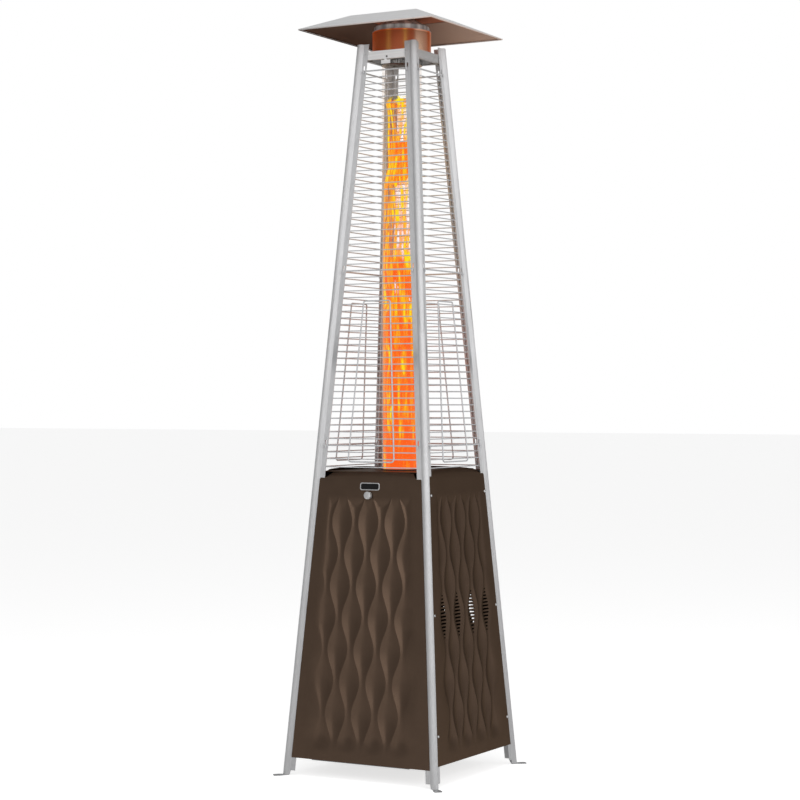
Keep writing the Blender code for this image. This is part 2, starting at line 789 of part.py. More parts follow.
def build_top_frame():
    """Four angle bars between the legs and the vented plate that lies on them."""
    for side_name, side in SIDES.items():
        outer_top = flange_inside(BAR_TOP) - GAP
        half = post_at(BAR_TOP) - BAR_END_INSET
        path = [(-outer_top, BAR_TOP), (-outer_top, BAR_BOTTOM), (-outer_top + BAR_LEG, BAR_BOTTOM)]

        def bar_point(column, row):
            y, z = path[row]
            return Vector(((2 * column - 1) * half, y, z))

        sheet = grid_sheet(2, len(path), bar_point)
        bar = add_mesh("top_bar_" + side_name, sheet, STEEL, HEATER, side * QUARTER)
        thicken(bar, BAR_SHEET, 1)
    plate_half = flange_inside(BAR_TOP) - GAP - BAR_SHEET - GAP
    plate_z = BAR_BOTTOM + BAR_SHEET + GAP + TOP_PLATE_SHEET / 2
    holes = [circle(TOP_HOLE_RADIUS, LARGE_STEPS)]
    for corner in range(4):
        for vent in range(TOP_VENTS):
            angle = (corner + 0.5) * QUARTER + (vent - (TOP_VENTS - 1) / 2) * TOP_VENT_STEP
            centre = (TOP_VENT_RING * math.cos(angle), TOP_VENT_RING * math.sin(angle))
            holes.append(circle(TOP_VENT_RADIUS, PORT_STEPS, centre))
    outline = chamfered_square(plate_half, TOP_PLATE_CORNER)
    place = Matrix.Translation((0, 0, plate_z))
    flat_plate("top_plate", outline, holes, TOP_PLATE_SHEET, STEEL, HEATER, place)


def build_emitter():
    """Perforated screen on the top plate, and the steel cap that closes it."""
    mesh_inside = SCREEN_RADIUS - SCREEN_WALL
    screen = [(SCREEN_RADIUS, SCREEN_TOP), (SCREEN_RADIUS, SCREEN_BOTTOM), (mesh_inside, SCREEN_BOTTOM),
              (mesh_inside, SCREEN_TOP)]
    turned("emitter_screen", screen, COPPER, HEATER, LARGE_STEPS)
    rim = SCREEN_TOP + GAP
    band = CAP_BAND_RADIUS
    inner = band - CAP_WALL
    cap = [(0, CAP_TOP), (CAP_TOP_RADIUS, CAP_TOP), (band, CAP_BAND_TOP), (band, rim + CAP_WALL),
           (SCREEN_RADIUS, rim + CAP_WALL), (SCREEN_RADIUS, rim), (inner, rim),
           (inner, CAP_BAND_TOP - CAP_WALL / 2), (CAP_TOP_RADIUS - CAP_WALL / 2, CAP_TOP - CAP_WALL),
           (0, CAP_TOP - CAP_WALL)]
    turned("emitter_cap", cap, STEEL, HEATER, LARGE_STEPS, closed=False)


def build_reflector():
    """Hipped reflector of thin sheet, on three studs that stand on the emitter cap."""
    bm = bmesh.new()
    lip_bottom = REFLECTOR_RIM - REFLECTOR_LIP
    bmesh.ops.create_cone(bm, cap_ends=True, segments=4, radius1=REFLECTOR_HALF * math.sqrt(2),
                          radius2=REFLECTOR_FLAT_HALF * math.sqrt(2), depth=REFLECTOR_TOP - REFLECTOR_RIM)
    bmesh.ops.rotate(bm, verts=bm.verts, cent=(0, 0, 0), matrix=Matrix.Rotation(QUARTER / 2, 3, "Z"))
    bmesh.ops.translate(bm, verts=bm.verts, vec=(0, 0, (REFLECTOR_TOP + REFLECTOR_RIM) / 2))
    under = [face for face in bm.faces if face.normal.z < -0.9]
    bmesh.ops.delete(bm, geom=under, context="FACES_ONLY")
    rim_edges = [edge for edge in bm.edges if edge.is_boundary]
    lip = bmesh.ops.extrude_edge_only(bm, edges=rim_edges)
    lip_verts = [item for item in lip["geom"] if isinstance(item, bmesh.types.BMVert)]
    bmesh.ops.translate(bm, verts=lip_verts, vec=(0, 0, lip_bottom - REFLECTOR_RIM))
    reflector = add_mesh("reflector", bm, STEEL, HEATER)
    thicken(reflector, REFLECTOR_SHEET, -1)
    under_flat = REFLECTOR_TOP - REFLECTOR_SHEET
    for number in range(1, STUDS + 1):
        angle = number * 2 * math.pi / STUDS - QUARTER
        centre = Vector((STUD_RING * math.cos(angle), STUD_RING * math.sin(angle), 0))
        hole_place = centre + Vector((0, 0, REFLECTOR_TOP))
        hole = rod(STUD_RADIUS + SLIDE_GAP, 2 * CUT_OVERRUN, hole_place, SMALL_STEPS)
        cut(reflector, add_cutter("reflector hole " + str(number), hole))
        top = REFLECTOR_TOP + STUD_ABOVE
        low = CAP_TOP + GAP
        profile = [(0, top), (STUD_RADIUS, top), (STUD_RADIUS, under_flat - GAP),
                   (SPACER_RADIUS, under_flat - GAP), (SPACER_RADIUS, low), (0, low)]
        name = "reflector_stud_" + str(number)
        stud = turned(name, profile, STEEL, HEATER, SMALL_STEPS, closed=False)
        stud.location = centre
        seat = REFLECTOR_TOP + GAP
        bore = (STUD_RADIUS + SLIDE_GAP) / math.cos(math.pi / HEX_STEPS)
        high = seat + NUT_HEIGHT
        nut_profile = [(NUT_RADIUS, high), (NUT_RADIUS, seat), (bore, seat), (bore, high)]
        nut = turned("reflector_nut_" + str(number), nut_profile, STEEL, HEATER, HEX_STEPS)
        nut.location = centre


def build_burner():
    """Burner head on its pan, pilot parts round it and the gas pipe from the valve."""
    pan_top = DECK_TOP - DECK_SHEET - GAP
    pan_low = pan_top - PAN_SHEET
    mixer_low = pan_low - MIXER_LENGTH
    bore = MIXER_RADIUS - MIXER_WALL
    flare_top = mixer_low + MIXER_FLARE
    pan = [(PAN_RADIUS, pan_top), (PAN_RADIUS, pan_low), (MIXER_RADIUS, pan_low),
           (MIXER_RADIUS, flare_top), (MIXER_MOUTH, mixer_low), (MIXER_MOUTH - MIXER_WALL, mixer_low),
           (bore, flare_top), (bore, pan_top)]
    turned("burner_pan", pan, STEEL, HEATER, MEDIUM_STEPS)
    head_low = pan_top + GAP
    shoulder = head_low + BURNER_HEIGHT
    inner = BURNER_RADIUS - BURNER_WALL
    dome_radius = BURNER_RADIUS * 0.7
    dome_z = shoulder + BURNER_DOME * 0.6
    crown = shoulder + BURNER_DOME
    head = [(0, crown), (dome_radius, dome_z), (BURNER_RADIUS, shoulder), (BURNER_RADIUS, head_low),
            (inner, head_low), (inner, shoulder - BURNER_WALL), (dome_radius, dome_z - BURNER_WALL),
            (0, crown - BURNER_WALL)]
    burner = turned("burner_head", head, CAST_IRON, HEATER, MEDIUM_STEPS, closed=False)
    ports = bmesh.new()
    for port in range(BURNER_PORTS):
        angle = port * 2 * math.pi / BURNER_PORTS
        made = bmesh.ops.create_cone(ports, cap_ends=True, segments=HEX_STEPS, radius1=PORT_RADIUS,
                                     radius2=PORT_RADIUS, depth=2 * CUT_OVERRUN)["verts"]
        turn = Matrix.Rotation(angle, 3, "Z") @ Matrix.Rotation(QUARTER, 3, "Y")
        bmesh.ops.rotate(ports, verts=made, cent=(0, 0, 0), matrix=turn)
        place = Vector((BURNER_RADIUS * math.cos(angle), BURNER_RADIUS * math.sin(angle),
                        shoulder - BURNER_HEIGHT / 3))
        bmesh.ops.translate(ports, verts=made, vec=place)
    cut(burner, add_cutter("burner ports", ports))
    pilot = [(0, head_low + PILOT_HEIGHT), (PILOT_RADIUS, head_low + PILOT_HEIGHT),
             (PILOT_RADIUS, head_low + PILOT_HEIGHT - PILOT_HOOD), (PROBE_COLLAR / 2, head_low + PILOT_HOOD),
             (PROBE_COLLAR / 2, head_low), (0, head_low)]
    pilot_burner = turned("pilot_burner", pilot, BRASS, HEATER, SMALL_STEPS, closed=False)
    pilot_burner.location = (0, -PILOT_OFFSET, 0)
    for name, turn in (("spark_electrode", -PROBE_ANGLE), ("thermocouple", PROBE_ANGLE)):
        angle = turn - QUARTER
        collar_top = head_low + PROBE_COLLAR_HEIGHT
        tip = head_low + PROBE_HEIGHT
        probe = [(0, tip), (PROBE_RADIUS, tip), (PROBE_RADIUS, collar_top), (PROBE_COLLAR, collar_top),
                 (PROBE_COLLAR, head_low), (0, head_low)]
        material = CERAMIC if turn < 0 else BRASS
        piece = turned(name, probe, material, HEATER, SMALL_STEPS, closed=False)
        piece.location = (PILOT_OFFSET * math.cos(angle), PILOT_OFFSET * math.sin(angle), 0)
    build_pipe(mixer_low)


def build_pipe(mixer_low):
    """Bent gas pipe from the back of the valve to the jet inside the mixing tube."""
    valve_back = -BOX_FRONT + BOX_SHEET + GAP + VALVE_DEPTH
    drop = mixer_low - MIXER_MOUTH
    bend = MIXER_MOUTH
    route = [Vector((CONTROL_X, valve_back + GAP, CONTROL_Z)),
             Vector((CONTROL_X, valve_back + PIPE_RADIUS, CONTROL_Z)),
             Vector((CONTROL_X, valve_back + bend, CONTROL_Z)),
             Vector((CONTROL_X, valve_back + 2 * bend, CONTROL_Z - bend)),
             Vector((CONTROL_X / 2, -bend, drop)), Vector((0, 0, drop)), Vector((0, 0, mixer_low)),
             Vector((0, 0, mixer_low + JET_DEPTH))]
    smooth = []
    for index in range(len(route) - 1):
        before = route[max(index - 1, 0)]
        start = route[index]
        end = route[index + 1]
        after = route[min(index + 2, len(route) - 1)]
        straight = index in (0, len(route) - 2)
        for step in range(1 if straight else PIPE_BEND_STEPS):
            t = step / PIPE_BEND_STEPS
            leave = (end - before) / 2
            arrive = (after - start) / 2
            point = ((2 * t ** 3 - 3 * t ** 2 + 1) * start + (t ** 3 - 2 * t ** 2 + t) * leave
                     + (-2 * t ** 3 + 3 * t ** 2) * end + (t ** 3 - t ** 2) * arrive)
            smooth.append(point)
    smooth.append(route[-1])
    curve = bpy.data.curves.new("burner_pipe", "CURVE")
    curve.dimensions = "3D"
    curve.bevel_depth = PIPE_RADIUS
    curve.bevel_resolution = 1
    curve.use_fill_caps = True
    spline = curve.splines.new("POLY")
    spline.points.add(len(smooth) - 1)
    for point, place in zip(spline.points, smooth):
        point.co = (*place, 1)
    curve.materials.append(BRASS)
    pipe = bpy.data.objects.new("burner_pipe", curve)
    HEATER.objects.link(pipe)


def build_controls():
    """Control box under the deck with the gas valve, its knob and the spark igniter."""
    box_top = DECK_TOP - DECK_SHEET - GAP
    centre = Vector((0, -BOX_FRONT + BOX_DEPTH / 2, box_top - BOX_HEIGHT / 2))
    bm = box((2 * BOX_HALF_WIDTH, BOX_DEPTH, BOX_HEIGHT), centre)
    open_faces = [face for face in bm.faces if face.normal.y > 0.9 or face.normal.z > 0.9]
    bmesh.ops.delete(bm, geom=open_faces, context="FACES")
    control_box = add_mesh("control_box", bm, GALVANISED, HEATER)
    thicken(control_box, BOX_SHEET, -1)
    front_place = Vector((CONTROL_X, -BOX_FRONT, CONTROL_Z))
    stem_hole = rod(STEM_RADIUS + SLIDE_GAP, 2 * CUT_OVERRUN, front_place, SMALL_STEPS, "Y")
    cut(control_box, add_cutter("stem hole", stem_hole))
    igniter_place = Vector((IGNITER_X, -BOX_FRONT, CONTROL_Z))
    igniter_hole = rod(BARREL_RADIUS + GAP, 2 * CUT_OVERRUN, igniter_place, MEDIUM_STEPS, "Y")
    cut(control_box, add_cutter("igniter hole", igniter_hole))

    valve_front = -BOX_FRONT + BOX_SHEET + GAP
    valve_centre = Vector((CONTROL_X, valve_front + VALVE_DEPTH / 2, CONTROL_Z))
    valve = add_mesh("gas_valve", box((VALVE_WIDTH, VALVE_DEPTH, VALVE_HEIGHT), valve_centre), BRASS, HEATER)
    bore_depth = STEM_IN_VALVE + STEM_PUSH + SLIDE_GAP
    bore_centre = Vector((CONTROL_X, valve_front + (bore_depth - CUT_OVERRUN) / 2, CONTROL_Z))
    bore = rod(STEM_RADIUS + SLIDE_GAP, bore_depth + CUT_OVERRUN, bore_centre, SMALL_STEPS, "Y")
    cut(valve, add_cutter("valve bore", bore))

    inlet_top = CONTROL_Z - VALVE_HEIGHT / 2 - GAP
    inlet_low = box_top - BOX_HEIGHT - INLET_PROUD
    inlet_hole_place = Vector((CONTROL_X, valve_centre.y, box_top - BOX_HEIGHT))
    inlet_hole = rod(INLET_RADIUS + SLIDE_GAP, 2 * CUT_OVERRUN, inlet_hole_place, SMALL_STEPS)
    cut(control_box, add_cutter("inlet hole", inlet_hole))
    inlet_profile = [(INLET_RADIUS, inlet_top), (INLET_RADIUS, inlet_low), (INLET_BORE, inlet_low),
                     (INLET_BORE, inlet_top)]
    inlet = turned("inlet_fitting", inlet_profile, BRASS, HEATER, HEX_STEPS)
    inlet.location = (CONTROL_X, valve_centre.y, 0)

    knob_back = -BOX_FRONT - KNOB_PUSH_GAP
    stem_rear = valve_front + STEM_IN_VALVE
    stem_front = knob_back - DIAL_BORE_DEPTH + GAP
    stem_length = stem_rear - stem_front
    stem = add_mesh("valve_stem", rod(STEM_RADIUS, stem_length, (0, 0, 0), SMALL_STEPS, "Y"), BRASS, HEATER)
    stem.location = (CONTROL_X, (stem_rear + stem_front) / 2, CONTROL_Z)

    dial = add_mesh("control_knob", rod(DIAL_RADIUS, DIAL_DEPTH, (0, -DIAL_DEPTH / 2, 0), MEDIUM_STEPS, "Y"),
                    BLACK_PLASTIC, HEATER)
    dial.location = (CONTROL_X, knob_back, CONTROL_Z)
    grip_depth = DIAL_GRIP_RISE + CUT_OVERRUN
    grip_place = (0, -DIAL_DEPTH - DIAL_GRIP_RISE + grip_depth / 2, 0)
    grip_size = (DIAL_GRIP_WIDTH, grip_depth, 2 * DIAL_RADIUS - CUT_OVERRUN)
    grip = add_cutter("dial grip", box(grip_size, grip_place))
    grip.location = dial.location
    join(dial, grip)
    dial_bore = rod(STEM_RADIUS + GAP, DIAL_BORE_DEPTH + CUT_OVERRUN,
                    (0, (CUT_OVERRUN - DIAL_BORE_DEPTH) / 2, 0), SMALL_STEPS, "Y")
    dial_cutter = add_cutter("dial bore", dial_bore)
    dial_cutter.location = dial.location
    cut(dial, dial_cutter)

    bezel_back = -GAP
    inside = BUTTON_RADIUS + SLIDE_GAP
    barrel_end = BOX_SHEET + BARREL_LENGTH
    igniter_profile = [(0, barrel_end - BEZEL_DEPTH), (inside, barrel_end - BEZEL_DEPTH),
                       (inside, bezel_back - BEZEL_DEPTH), (BEZEL_RADIUS, bezel_back - BEZEL_DEPTH),
                       (BEZEL_RADIUS, bezel_back), (BARREL_RADIUS, bezel_back), (BARREL_RADIUS, barrel_end),
                       (0, barrel_end)]
    igniter = turned_along_y("igniter_body", igniter_profile, BLACK_PLASTIC, MEDIUM_STEPS)
    igniter.location = (IGNITER_X, -BOX_FRONT, CONTROL_Z)
    face = -BUTTON_PROUD - BEZEL_DEPTH
    rear = barrel_end - BEZEL_DEPTH - BUTTON_TRAVEL - GAP
    button_profile = [(0, face), (BUTTON_RADIUS - KNOB_EDGE, face), (BUTTON_RADIUS, face + KNOB_EDGE),
                      (BUTTON_RADIUS, rear), (0, rear)]
    button = turned_along_y("igniter_button", button_profile, RED_PLASTIC, MEDIUM_STEPS)
    button.location = (IGNITER_X, -BOX_FRONT, CONTROL_Z)

    tilt_top = DECK_TOP - DECK_SHEET - GAP
    tilt_place = Vector((TILT_X, TILT_Y, tilt_top - TILT_HEIGHT / 2))
    add_mesh("tilt_switch", rod(TILT_RADIUS, TILT_HEIGHT, tilt_place, MEDIUM_STEPS), BLACK_PLASTIC, HEATER)


def turned_along_y(name, profile, material, steps):
    """Turn a profile of (radius, y) points about Y; y grows into the heater."""
    flipped = [(radius, -along) for radius, along in profile]
    piece = turned(name, flipped, material, HEATER, steps, closed=False)
    piece.rotation_euler = (QUARTER, 0, 0)
    return piece


def build_door_furniture():
    """Pull knob and badge on the door, the strike behind it and the magnetic catch."""
    tilt = (-TILT, 0, 0)
    stem_end = -KNOB_STEM
    head_end = stem_end - KNOB_HEAD
    bolt_end = PANEL_SHEET + KNOB_BOLT
    profile = [(0, head_end), (KNOB_RADIUS - KNOB_EDGE, head_end), (KNOB_RADIUS, head_end + KNOB_EDGE),
               (KNOB_RADIUS, stem_end), (KNOB_STEM_RADIUS, stem_end), (KNOB_STEM_RADIUS, -GAP),
               (KNOB_BOLT_RADIUS, -GAP), (KNOB_BOLT_RADIUS, bolt_end), (0, bolt_end)]
    knob = turned_along_y("door_knob", profile, CHROME, MEDIUM_STEPS)
    knob.rotation_euler = (QUARTER - TILT, 0, 0)
    knob.location = (0, -panel_outside(KNOB_Z), KNOB_Z)
    bolt_rod = rod(KNOB_BOLT_RADIUS + GAP, 2 * CUT_OVERRUN, (0, 0, 0), SMALL_STEPS, "Y")
    bolt_hole = add_cutter("knob hole", bolt_rod)
    bolt_hole.location = knob.location
    bolt_hole.rotation_euler = tilt
    cut(bpy.data.objects["front_door"], bolt_hole)
    outline = rounded_rectangle(BADGE_WIDTH / 2, BADGE_HEIGHT / 2, BADGE_CORNER, 3)
    lift = (GAP + BADGE_THICKNESS / 2) / math.cos(TILT)
    badge_place = (Matrix.Translation((0, -panel_outside(BADGE_Z) - lift, BADGE_Z))
                   @ Matrix.Rotation(QUARTER - TILT, 4, "X"))
    flat_plate("badge_plate", outline, [], BADGE_THICKNESS, BADGE_BLACK, HEATER, badge_place)
    strike_box = box((STRIKE_WIDTH, STRIKE_THICKNESS, STRIKE_HEIGHT), (0, 0, 0))
    strike = add_mesh("door_strike", strike_box, STEEL, HEATER)
    strike.rotation_euler = tilt
    behind = (GAP + STRIKE_THICKNESS / 2) / math.cos(TILT)
    strike.location = (0, -panel_inside(STRIKE_Z) + behind, STRIKE_Z)
    strike_back = -panel_inside(STRIKE_Z - CATCH_HEIGHT / 2) + GAP + STRIKE_THICKNESS
    catch_front = strike_back + LEAN * CATCH_HEIGHT + GAP
    catch_back = -BOX_FRONT - GAP
    catch_size = (CATCH_WIDTH, catch_back - catch_front, CATCH_HEIGHT)
    catch_centre = (0, (catch_back + catch_front) / 2, STRIKE_Z)
    add_mesh("magnet_catch", box(catch_size, catch_centre), BLACK_PLASTIC, HEATER)


def build_heater():
    for corner, name in enumerate(("front_right", "rear_right", "rear_left", "front_left")):
        build_leg("leg_" + name, corner)
        build_foot("foot_" + name, corner)
    build_panel("front_door", SIDES["front"], DOOR_DROP, False)
    build_panel("right_panel", SIDES["right"], 0, True)
    build_panel("rear_panel", SIDES["rear"], 0, True)
    build_panel("left_panel", SIDES["left"], 0, True)
    build_door_furniture()
    build_base()
    build_deck()
    build_controls()
    build_burner()
    build_tube()
    for side_name in SIDES:
        build_guard(side_name)
        build_loop(side_name)
    build_top_frame()
    build_emitter()
    build_reflector()


clear_scene()
HEATER = new_collection("pyramid_patio_heater")
CUTTERS = new_collection("cutters")
STEEL = finish_material("satin steel", (0.60, 0.60, 0.60), 0.32, 1.0)
WIRE_STEEL = finish_material("wire steel", (0.45, 0.45, 0.45), 0.40, 1.0)
PAINT = finish_material("brown paint", (0.052, 0.035, 0.027), 0.42, 0.0)
GLASS = finish_material("glass", (0.90, 0.93, 0.93), 0.03, 0.0, 0.25)
COPPER = finish_material("glowing screen", (0.55, 0.12, 0.02), 0.45, 0.6)
CHROME = finish_material("bright chrome", (0.78, 0.78, 0.78), 0.15, 1.0)
BADGE_BLACK = finish_material("badge black", (0.01, 0.01, 0.01), 0.35, 0.0)
RUBBER = finish_material("silicone rubber", (0.03, 0.03, 0.03), 0.8, 0.0)
CAST_IRON = finish_material("burner iron", (0.06, 0.06, 0.06), 0.7, 0.8)
BRASS = finish_material("brass", (0.62, 0.45, 0.16), 0.3, 1.0)
CERAMIC = finish_material("ceramic", (0.85, 0.84, 0.80), 0.4, 0.0)
GALVANISED = finish_material("galvanised sheet", (0.50, 0.51, 0.52), 0.5, 0.9)
BLACK_PLASTIC = finish_material("black plastic", (0.015, 0.015, 0.015), 0.45, 0.0)
RED_PLASTIC = finish_material("red plastic", (0.45, 0.02, 0.015), 0.4, 0.0)
build_heater()
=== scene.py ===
"""Pyramid patio heater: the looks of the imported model, piece by piece, in the order of assembly.

Metres, +Z up, door towards -Y. Pieces of one side are made at the front and turned about Z.
"""
import math

import bmesh
import bpy
from mathutils import Matrix, Vector, noise


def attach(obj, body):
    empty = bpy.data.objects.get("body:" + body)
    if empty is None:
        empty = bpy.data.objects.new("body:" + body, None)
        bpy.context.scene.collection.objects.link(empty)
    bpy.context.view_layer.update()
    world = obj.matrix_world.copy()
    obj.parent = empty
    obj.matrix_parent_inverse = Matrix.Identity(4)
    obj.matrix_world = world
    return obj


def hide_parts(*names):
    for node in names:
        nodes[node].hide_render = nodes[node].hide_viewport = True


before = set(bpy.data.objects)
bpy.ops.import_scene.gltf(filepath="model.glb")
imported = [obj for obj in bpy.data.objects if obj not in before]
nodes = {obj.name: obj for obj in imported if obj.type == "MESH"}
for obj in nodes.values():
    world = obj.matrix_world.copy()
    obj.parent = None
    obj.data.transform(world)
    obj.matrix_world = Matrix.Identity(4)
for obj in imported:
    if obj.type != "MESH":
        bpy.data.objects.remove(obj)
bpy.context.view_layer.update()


# Camera. It stands level, 6.3 m from the heater's upright axis and to the right of the door.
# A long lens keeps the legs and the cabinet nearly free of perspective.
camera_distance = 6.3474
camera_turn = math.radians(29.55)
eye_height = 1.1154
lens_data = bpy.data.cameras.new("camera")
lens_data.lens = 94.49
lens_data.sensor_width = 36.0
lens_data.shift_x = -0.0022
lens_data.shift_y = 0.00025
camera = bpy.data.objects.new("camera", lens_data)
camera.location = (camera_distance * math.sin(camera_turn),
                   -camera_distance * math.cos(camera_turn), eye_height)
camera.rotation_euler = (math.radians(90), 0, camera_turn)
bpy.context.scene.collection.objects.link(camera)
bpy.context.scene.camera = camera


# Legs. Each is one strip of brushed stainless sheet, rolled into a half-round bead between two
# flat flanges. Three slots in each flange take the hooks of the wire guards.
class Signal:
    """A shader value. Signs between signals and numbers add Math nodes."""

    def __init__(self, tree, socket):
        self.tree = tree
        self.socket = socket

    def node(self, kind, settings=None, inputs=None, output=0):
        """Any other node: its settings are set first, then its sockets' values or links."""
        made = self.tree.nodes.new("ShaderNode" + kind)
        for key, value in (settings or {}).items():
            if key == "stops":
                ramp = made.color_ramp
                while len(ramp.elements) < len(value):
                    ramp.elements.new(1.0)
                for element, (position, color) in zip(ramp.elements, value):
                    element.position = position
                    element.color = (*color, 1.0)
            else:
                setattr(made, key, value)
        for key, value in (inputs or {}).items():
            if isinstance(value, Signal):
                self.tree.links.new(value.socket, made.inputs[key])
            else:
                made.inputs[key].default_value = value
        return Signal(self.tree, made.outputs[output])

    def maths(self, operation, *values):
        return self.node("Math", {"operation": operation}, dict(enumerate(values)))

    def feed(self, shader, socket):
        self.tree.links.new(self.socket, shader.inputs[socket])

    def __add__(self, other):
        return self.maths("ADD", self, other)

    def __sub__(self, other):
        return self.maths("SUBTRACT", self, other)

    def __rsub__(self, other):
        return self.maths("SUBTRACT", other, self)

    def __mul__(self, other):
        return self.maths("MULTIPLY", self, other)

    def __truediv__(self, other):
        return self.maths("DIVIDE", self, other)

    def __rtruediv__(self, other):
        return self.maths("DIVIDE", other, self)

    __radd__ = __add__
    __rmul__ = __mul__


def start_finish(name, **uniform):
    """A new material, its shader with uniform values set, and the place on the piece."""
    finish = bpy.data.materials.new(name)
    finish.use_nodes = True
    tree = finish.node_tree
    shader = tree.nodes["Principled BSDF"]
    for socket, value in uniform.items():
        shader.inputs[socket.replace("_", " ").title().replace("Ior", "IOR")].default_value = value
    coordinates = tree.nodes.new("ShaderNodeTexCoord")
    return finish, shader, Signal(tree, coordinates.outputs["Object"])


def grain(place, stretch, scale, detail=3.0):
    """Noise from 0 to 1, stretched along the axes by the three scales of stretch."""
    moved = place.node("Mapping", None, {"Vector": place, "Scale": stretch})
    return place.node("TexNoise", None, {"Vector": moved, "Scale": scale, "Detail": detail}, "Fac")


def ramp(value, low, high):
    """0 below low, 1 above high, and straight between them."""
    return value.node("MapRange", {"clamp": True}, {"Value": value, "From Min": low, "From Max": high})


def mixed(mask, first, second):
    """Colour that goes from first to second as the mask goes from 0 to 1."""
    sides = {}
    for socket, color in ((6, first), (7, second)):
        sides[socket] = color if isinstance(color, Signal) else (*color, 1.0)
    return mask.node("Mix", {"data_type": "RGBA"}, {0: mask, **sides}, 2)


def bumped(height, strength, distance):
    return height.node("Bump", None, {"Height": height, "Strength": strength, "Distance": distance})


def brushed_steel(name, color, stretch, roughness, spread=0.0, metal=1.0):
    """Steel with fine brush lines along one axis and broad, faint changes of tone."""
    finish, shader, place = start_finish(name, metallic=metal, anisotropic=spread)
    lines = grain(place, stretch, 1.0, 4.0)
    tone = grain(place, (1, 1, 1), 6.0)
    shade = ramp(lines * 0.7 + tone * 0.3, 0.35, 0.65)
    dark = tuple(part * 0.86 for part in color)
    light = tuple(min(1.0, part * 1.1) for part in color)
    mixed(shade, dark, light).feed(shader, "Base Color")
    (roughness + (lines - 0.5) * 0.16).feed(shader, "Roughness")
    bumped(lines, 0.12, 0.0004).feed(shader, "Normal")
    return finish


def grid_sheet(columns, rows, place):
    """Open surface whose points are given by place(column, row)."""
    bm = bmesh.new()
    points = [[bm.verts.new(place(column, row)) for column in range(columns)] for row in range(rows)]
    for low, high in zip(points, points[1:]):
        for column in range(columns - 1):
            bm.faces.new((low[column], low[column + 1], high[column + 1], high[column]))
    return bm


def work_sheet(bm, thickness=0.0, cutter=None, side=-1):
    """Thicken a surface into a sheet, and take a cutter's solids out of it."""
    helpers = []
    for shape in [bm] + ([cutter] if cutter else []):
        mesh = bpy.data.meshes.new("blank")
        shape.to_mesh(mesh)
        shape.free()
        helpers.append(bpy.data.objects.new("blank", mesh))
        bpy.context.scene.collection.objects.link(helpers[-1])
    blank = helpers[0]
    if thickness:
        shell = blank.modifiers.new("sheet", "SOLIDIFY")
        shell.thickness = thickness
        shell.offset = side
        shell.use_even_offset = True
    if cutter:
        boolean = blank.modifiers.new("cut", "BOOLEAN")
        boolean.operation = "DIFFERENCE"
        boolean.solver = "EXACT"
        boolean.object = helpers[1]
    bpy.context.view_layer.update()
    depsgraph = bpy.context.evaluated_depsgraph_get()
    worked = bpy.data.meshes.new_from_object(blank.evaluated_get(depsgraph))
    result = bmesh.new()
    result.from_mesh(worked)
    for helper in helpers:
        bpy.data.objects.remove(helper, do_unlink=True)
    return result


def add_piece(name, bm, finish, stands_for=(), body="root", turn=0.0, sharp=35):
    """Write a bmesh to a piece that rides on a body and stands for CAD nodes."""
    bmesh.ops.rotate(bm, verts=bm.verts, cent=(0, 0, 0), matrix=Matrix.Rotation(turn, 3, "Z"))
    mesh = bpy.data.meshes.new(name)
    bm.to_mesh(mesh)
    bm.free()
    mesh.shade_smooth()
    mesh.set_sharp_from_angle(angle=math.radians(sharp))
    mesh.materials.append(finish)
    piece = bpy.data.objects.new(name, mesh)
    bpy.context.scene.collection.objects.link(piece)
    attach(piece, body)
    if stands_for:
        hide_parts(*stands_for)
    return piece


def slot_tool(width, height, depth, centre):
    """Solid with half-round ends, upright along Z and cut along Y."""
    bm = bmesh.new()
    steps = 8
    reach = (height - width) / 2
    ring = []
    for half, start in ((1, 0.0), (-1, math.pi)):
        for step in range(steps + 1):
            angle = start + step / steps * math.pi
            ring.append((width / 2 * math.cos(angle), width / 2 * math.sin(angle) + half * reach))
    front = [bm.verts.new((x, -depth / 2, z)) for x, z in ring]
    face = bm.faces.new(front)
    made = bmesh.ops.extrude_face_region(bm, geom=[face])
    moved = [item for item in made["geom"] if isinstance(item, bmesh.types.BMVert)]
    bmesh.ops.translate(bm, verts=moved, vec=(0, depth, 0))
    bmesh.ops.recalc_face_normals(bm, faces=bm.faces)
    bmesh.ops.translate(bm, verts=bm.verts, vec=centre)
    return bm


def gather(shapes):
    """Several bmeshes as one."""
    whole = bmesh.new()
    for shape in shapes:
        mesh = bpy.data.meshes.new("part")
        shape.to_mesh(mesh)
        shape.free()
        whole.from_mesh(mesh)
        bpy.data.meshes.remove(mesh)
    return whole


quarter = math.radians(90)
gap = 0.0003
foot_half = 0.2518
head_half = 0.0898
leg_top = 2.183
leg_bottom = 0.0028
leg_sheet = 0.0015
bead_radius = 0.0105
flange_step = 0.002
flange_width = 0.016
flange_lift = 0.012
flange_notch = 0.0012
lean = (foot_half - head_half) / leg_top
tilt = math.atan(lean)
bead_side = bead_radius - flange_step * math.sqrt(2)
flange_start = (bead_radius + bead_side) * math.cos(math.radians(45))
flange_end = flange_start + flange_width
hook_heights = (0.981, 1.502, 2.102)
slot_from_end = 0.0075
slot_width = 0.0055
slot_height = 0.019
slot_rise = 0.0065
slot_cut = 0.02
leg_rows = 24
corner_names = ("front_right", "rear_right", "rear_left", "front_left")


def post(z):
    """Half spacing of the bead centres at a height."""
    return foot_half - lean * z


def flange_outside(z):
    return post(z) + flange_step


def flange_inside(z):
    return flange_outside(z) - leg_sheet


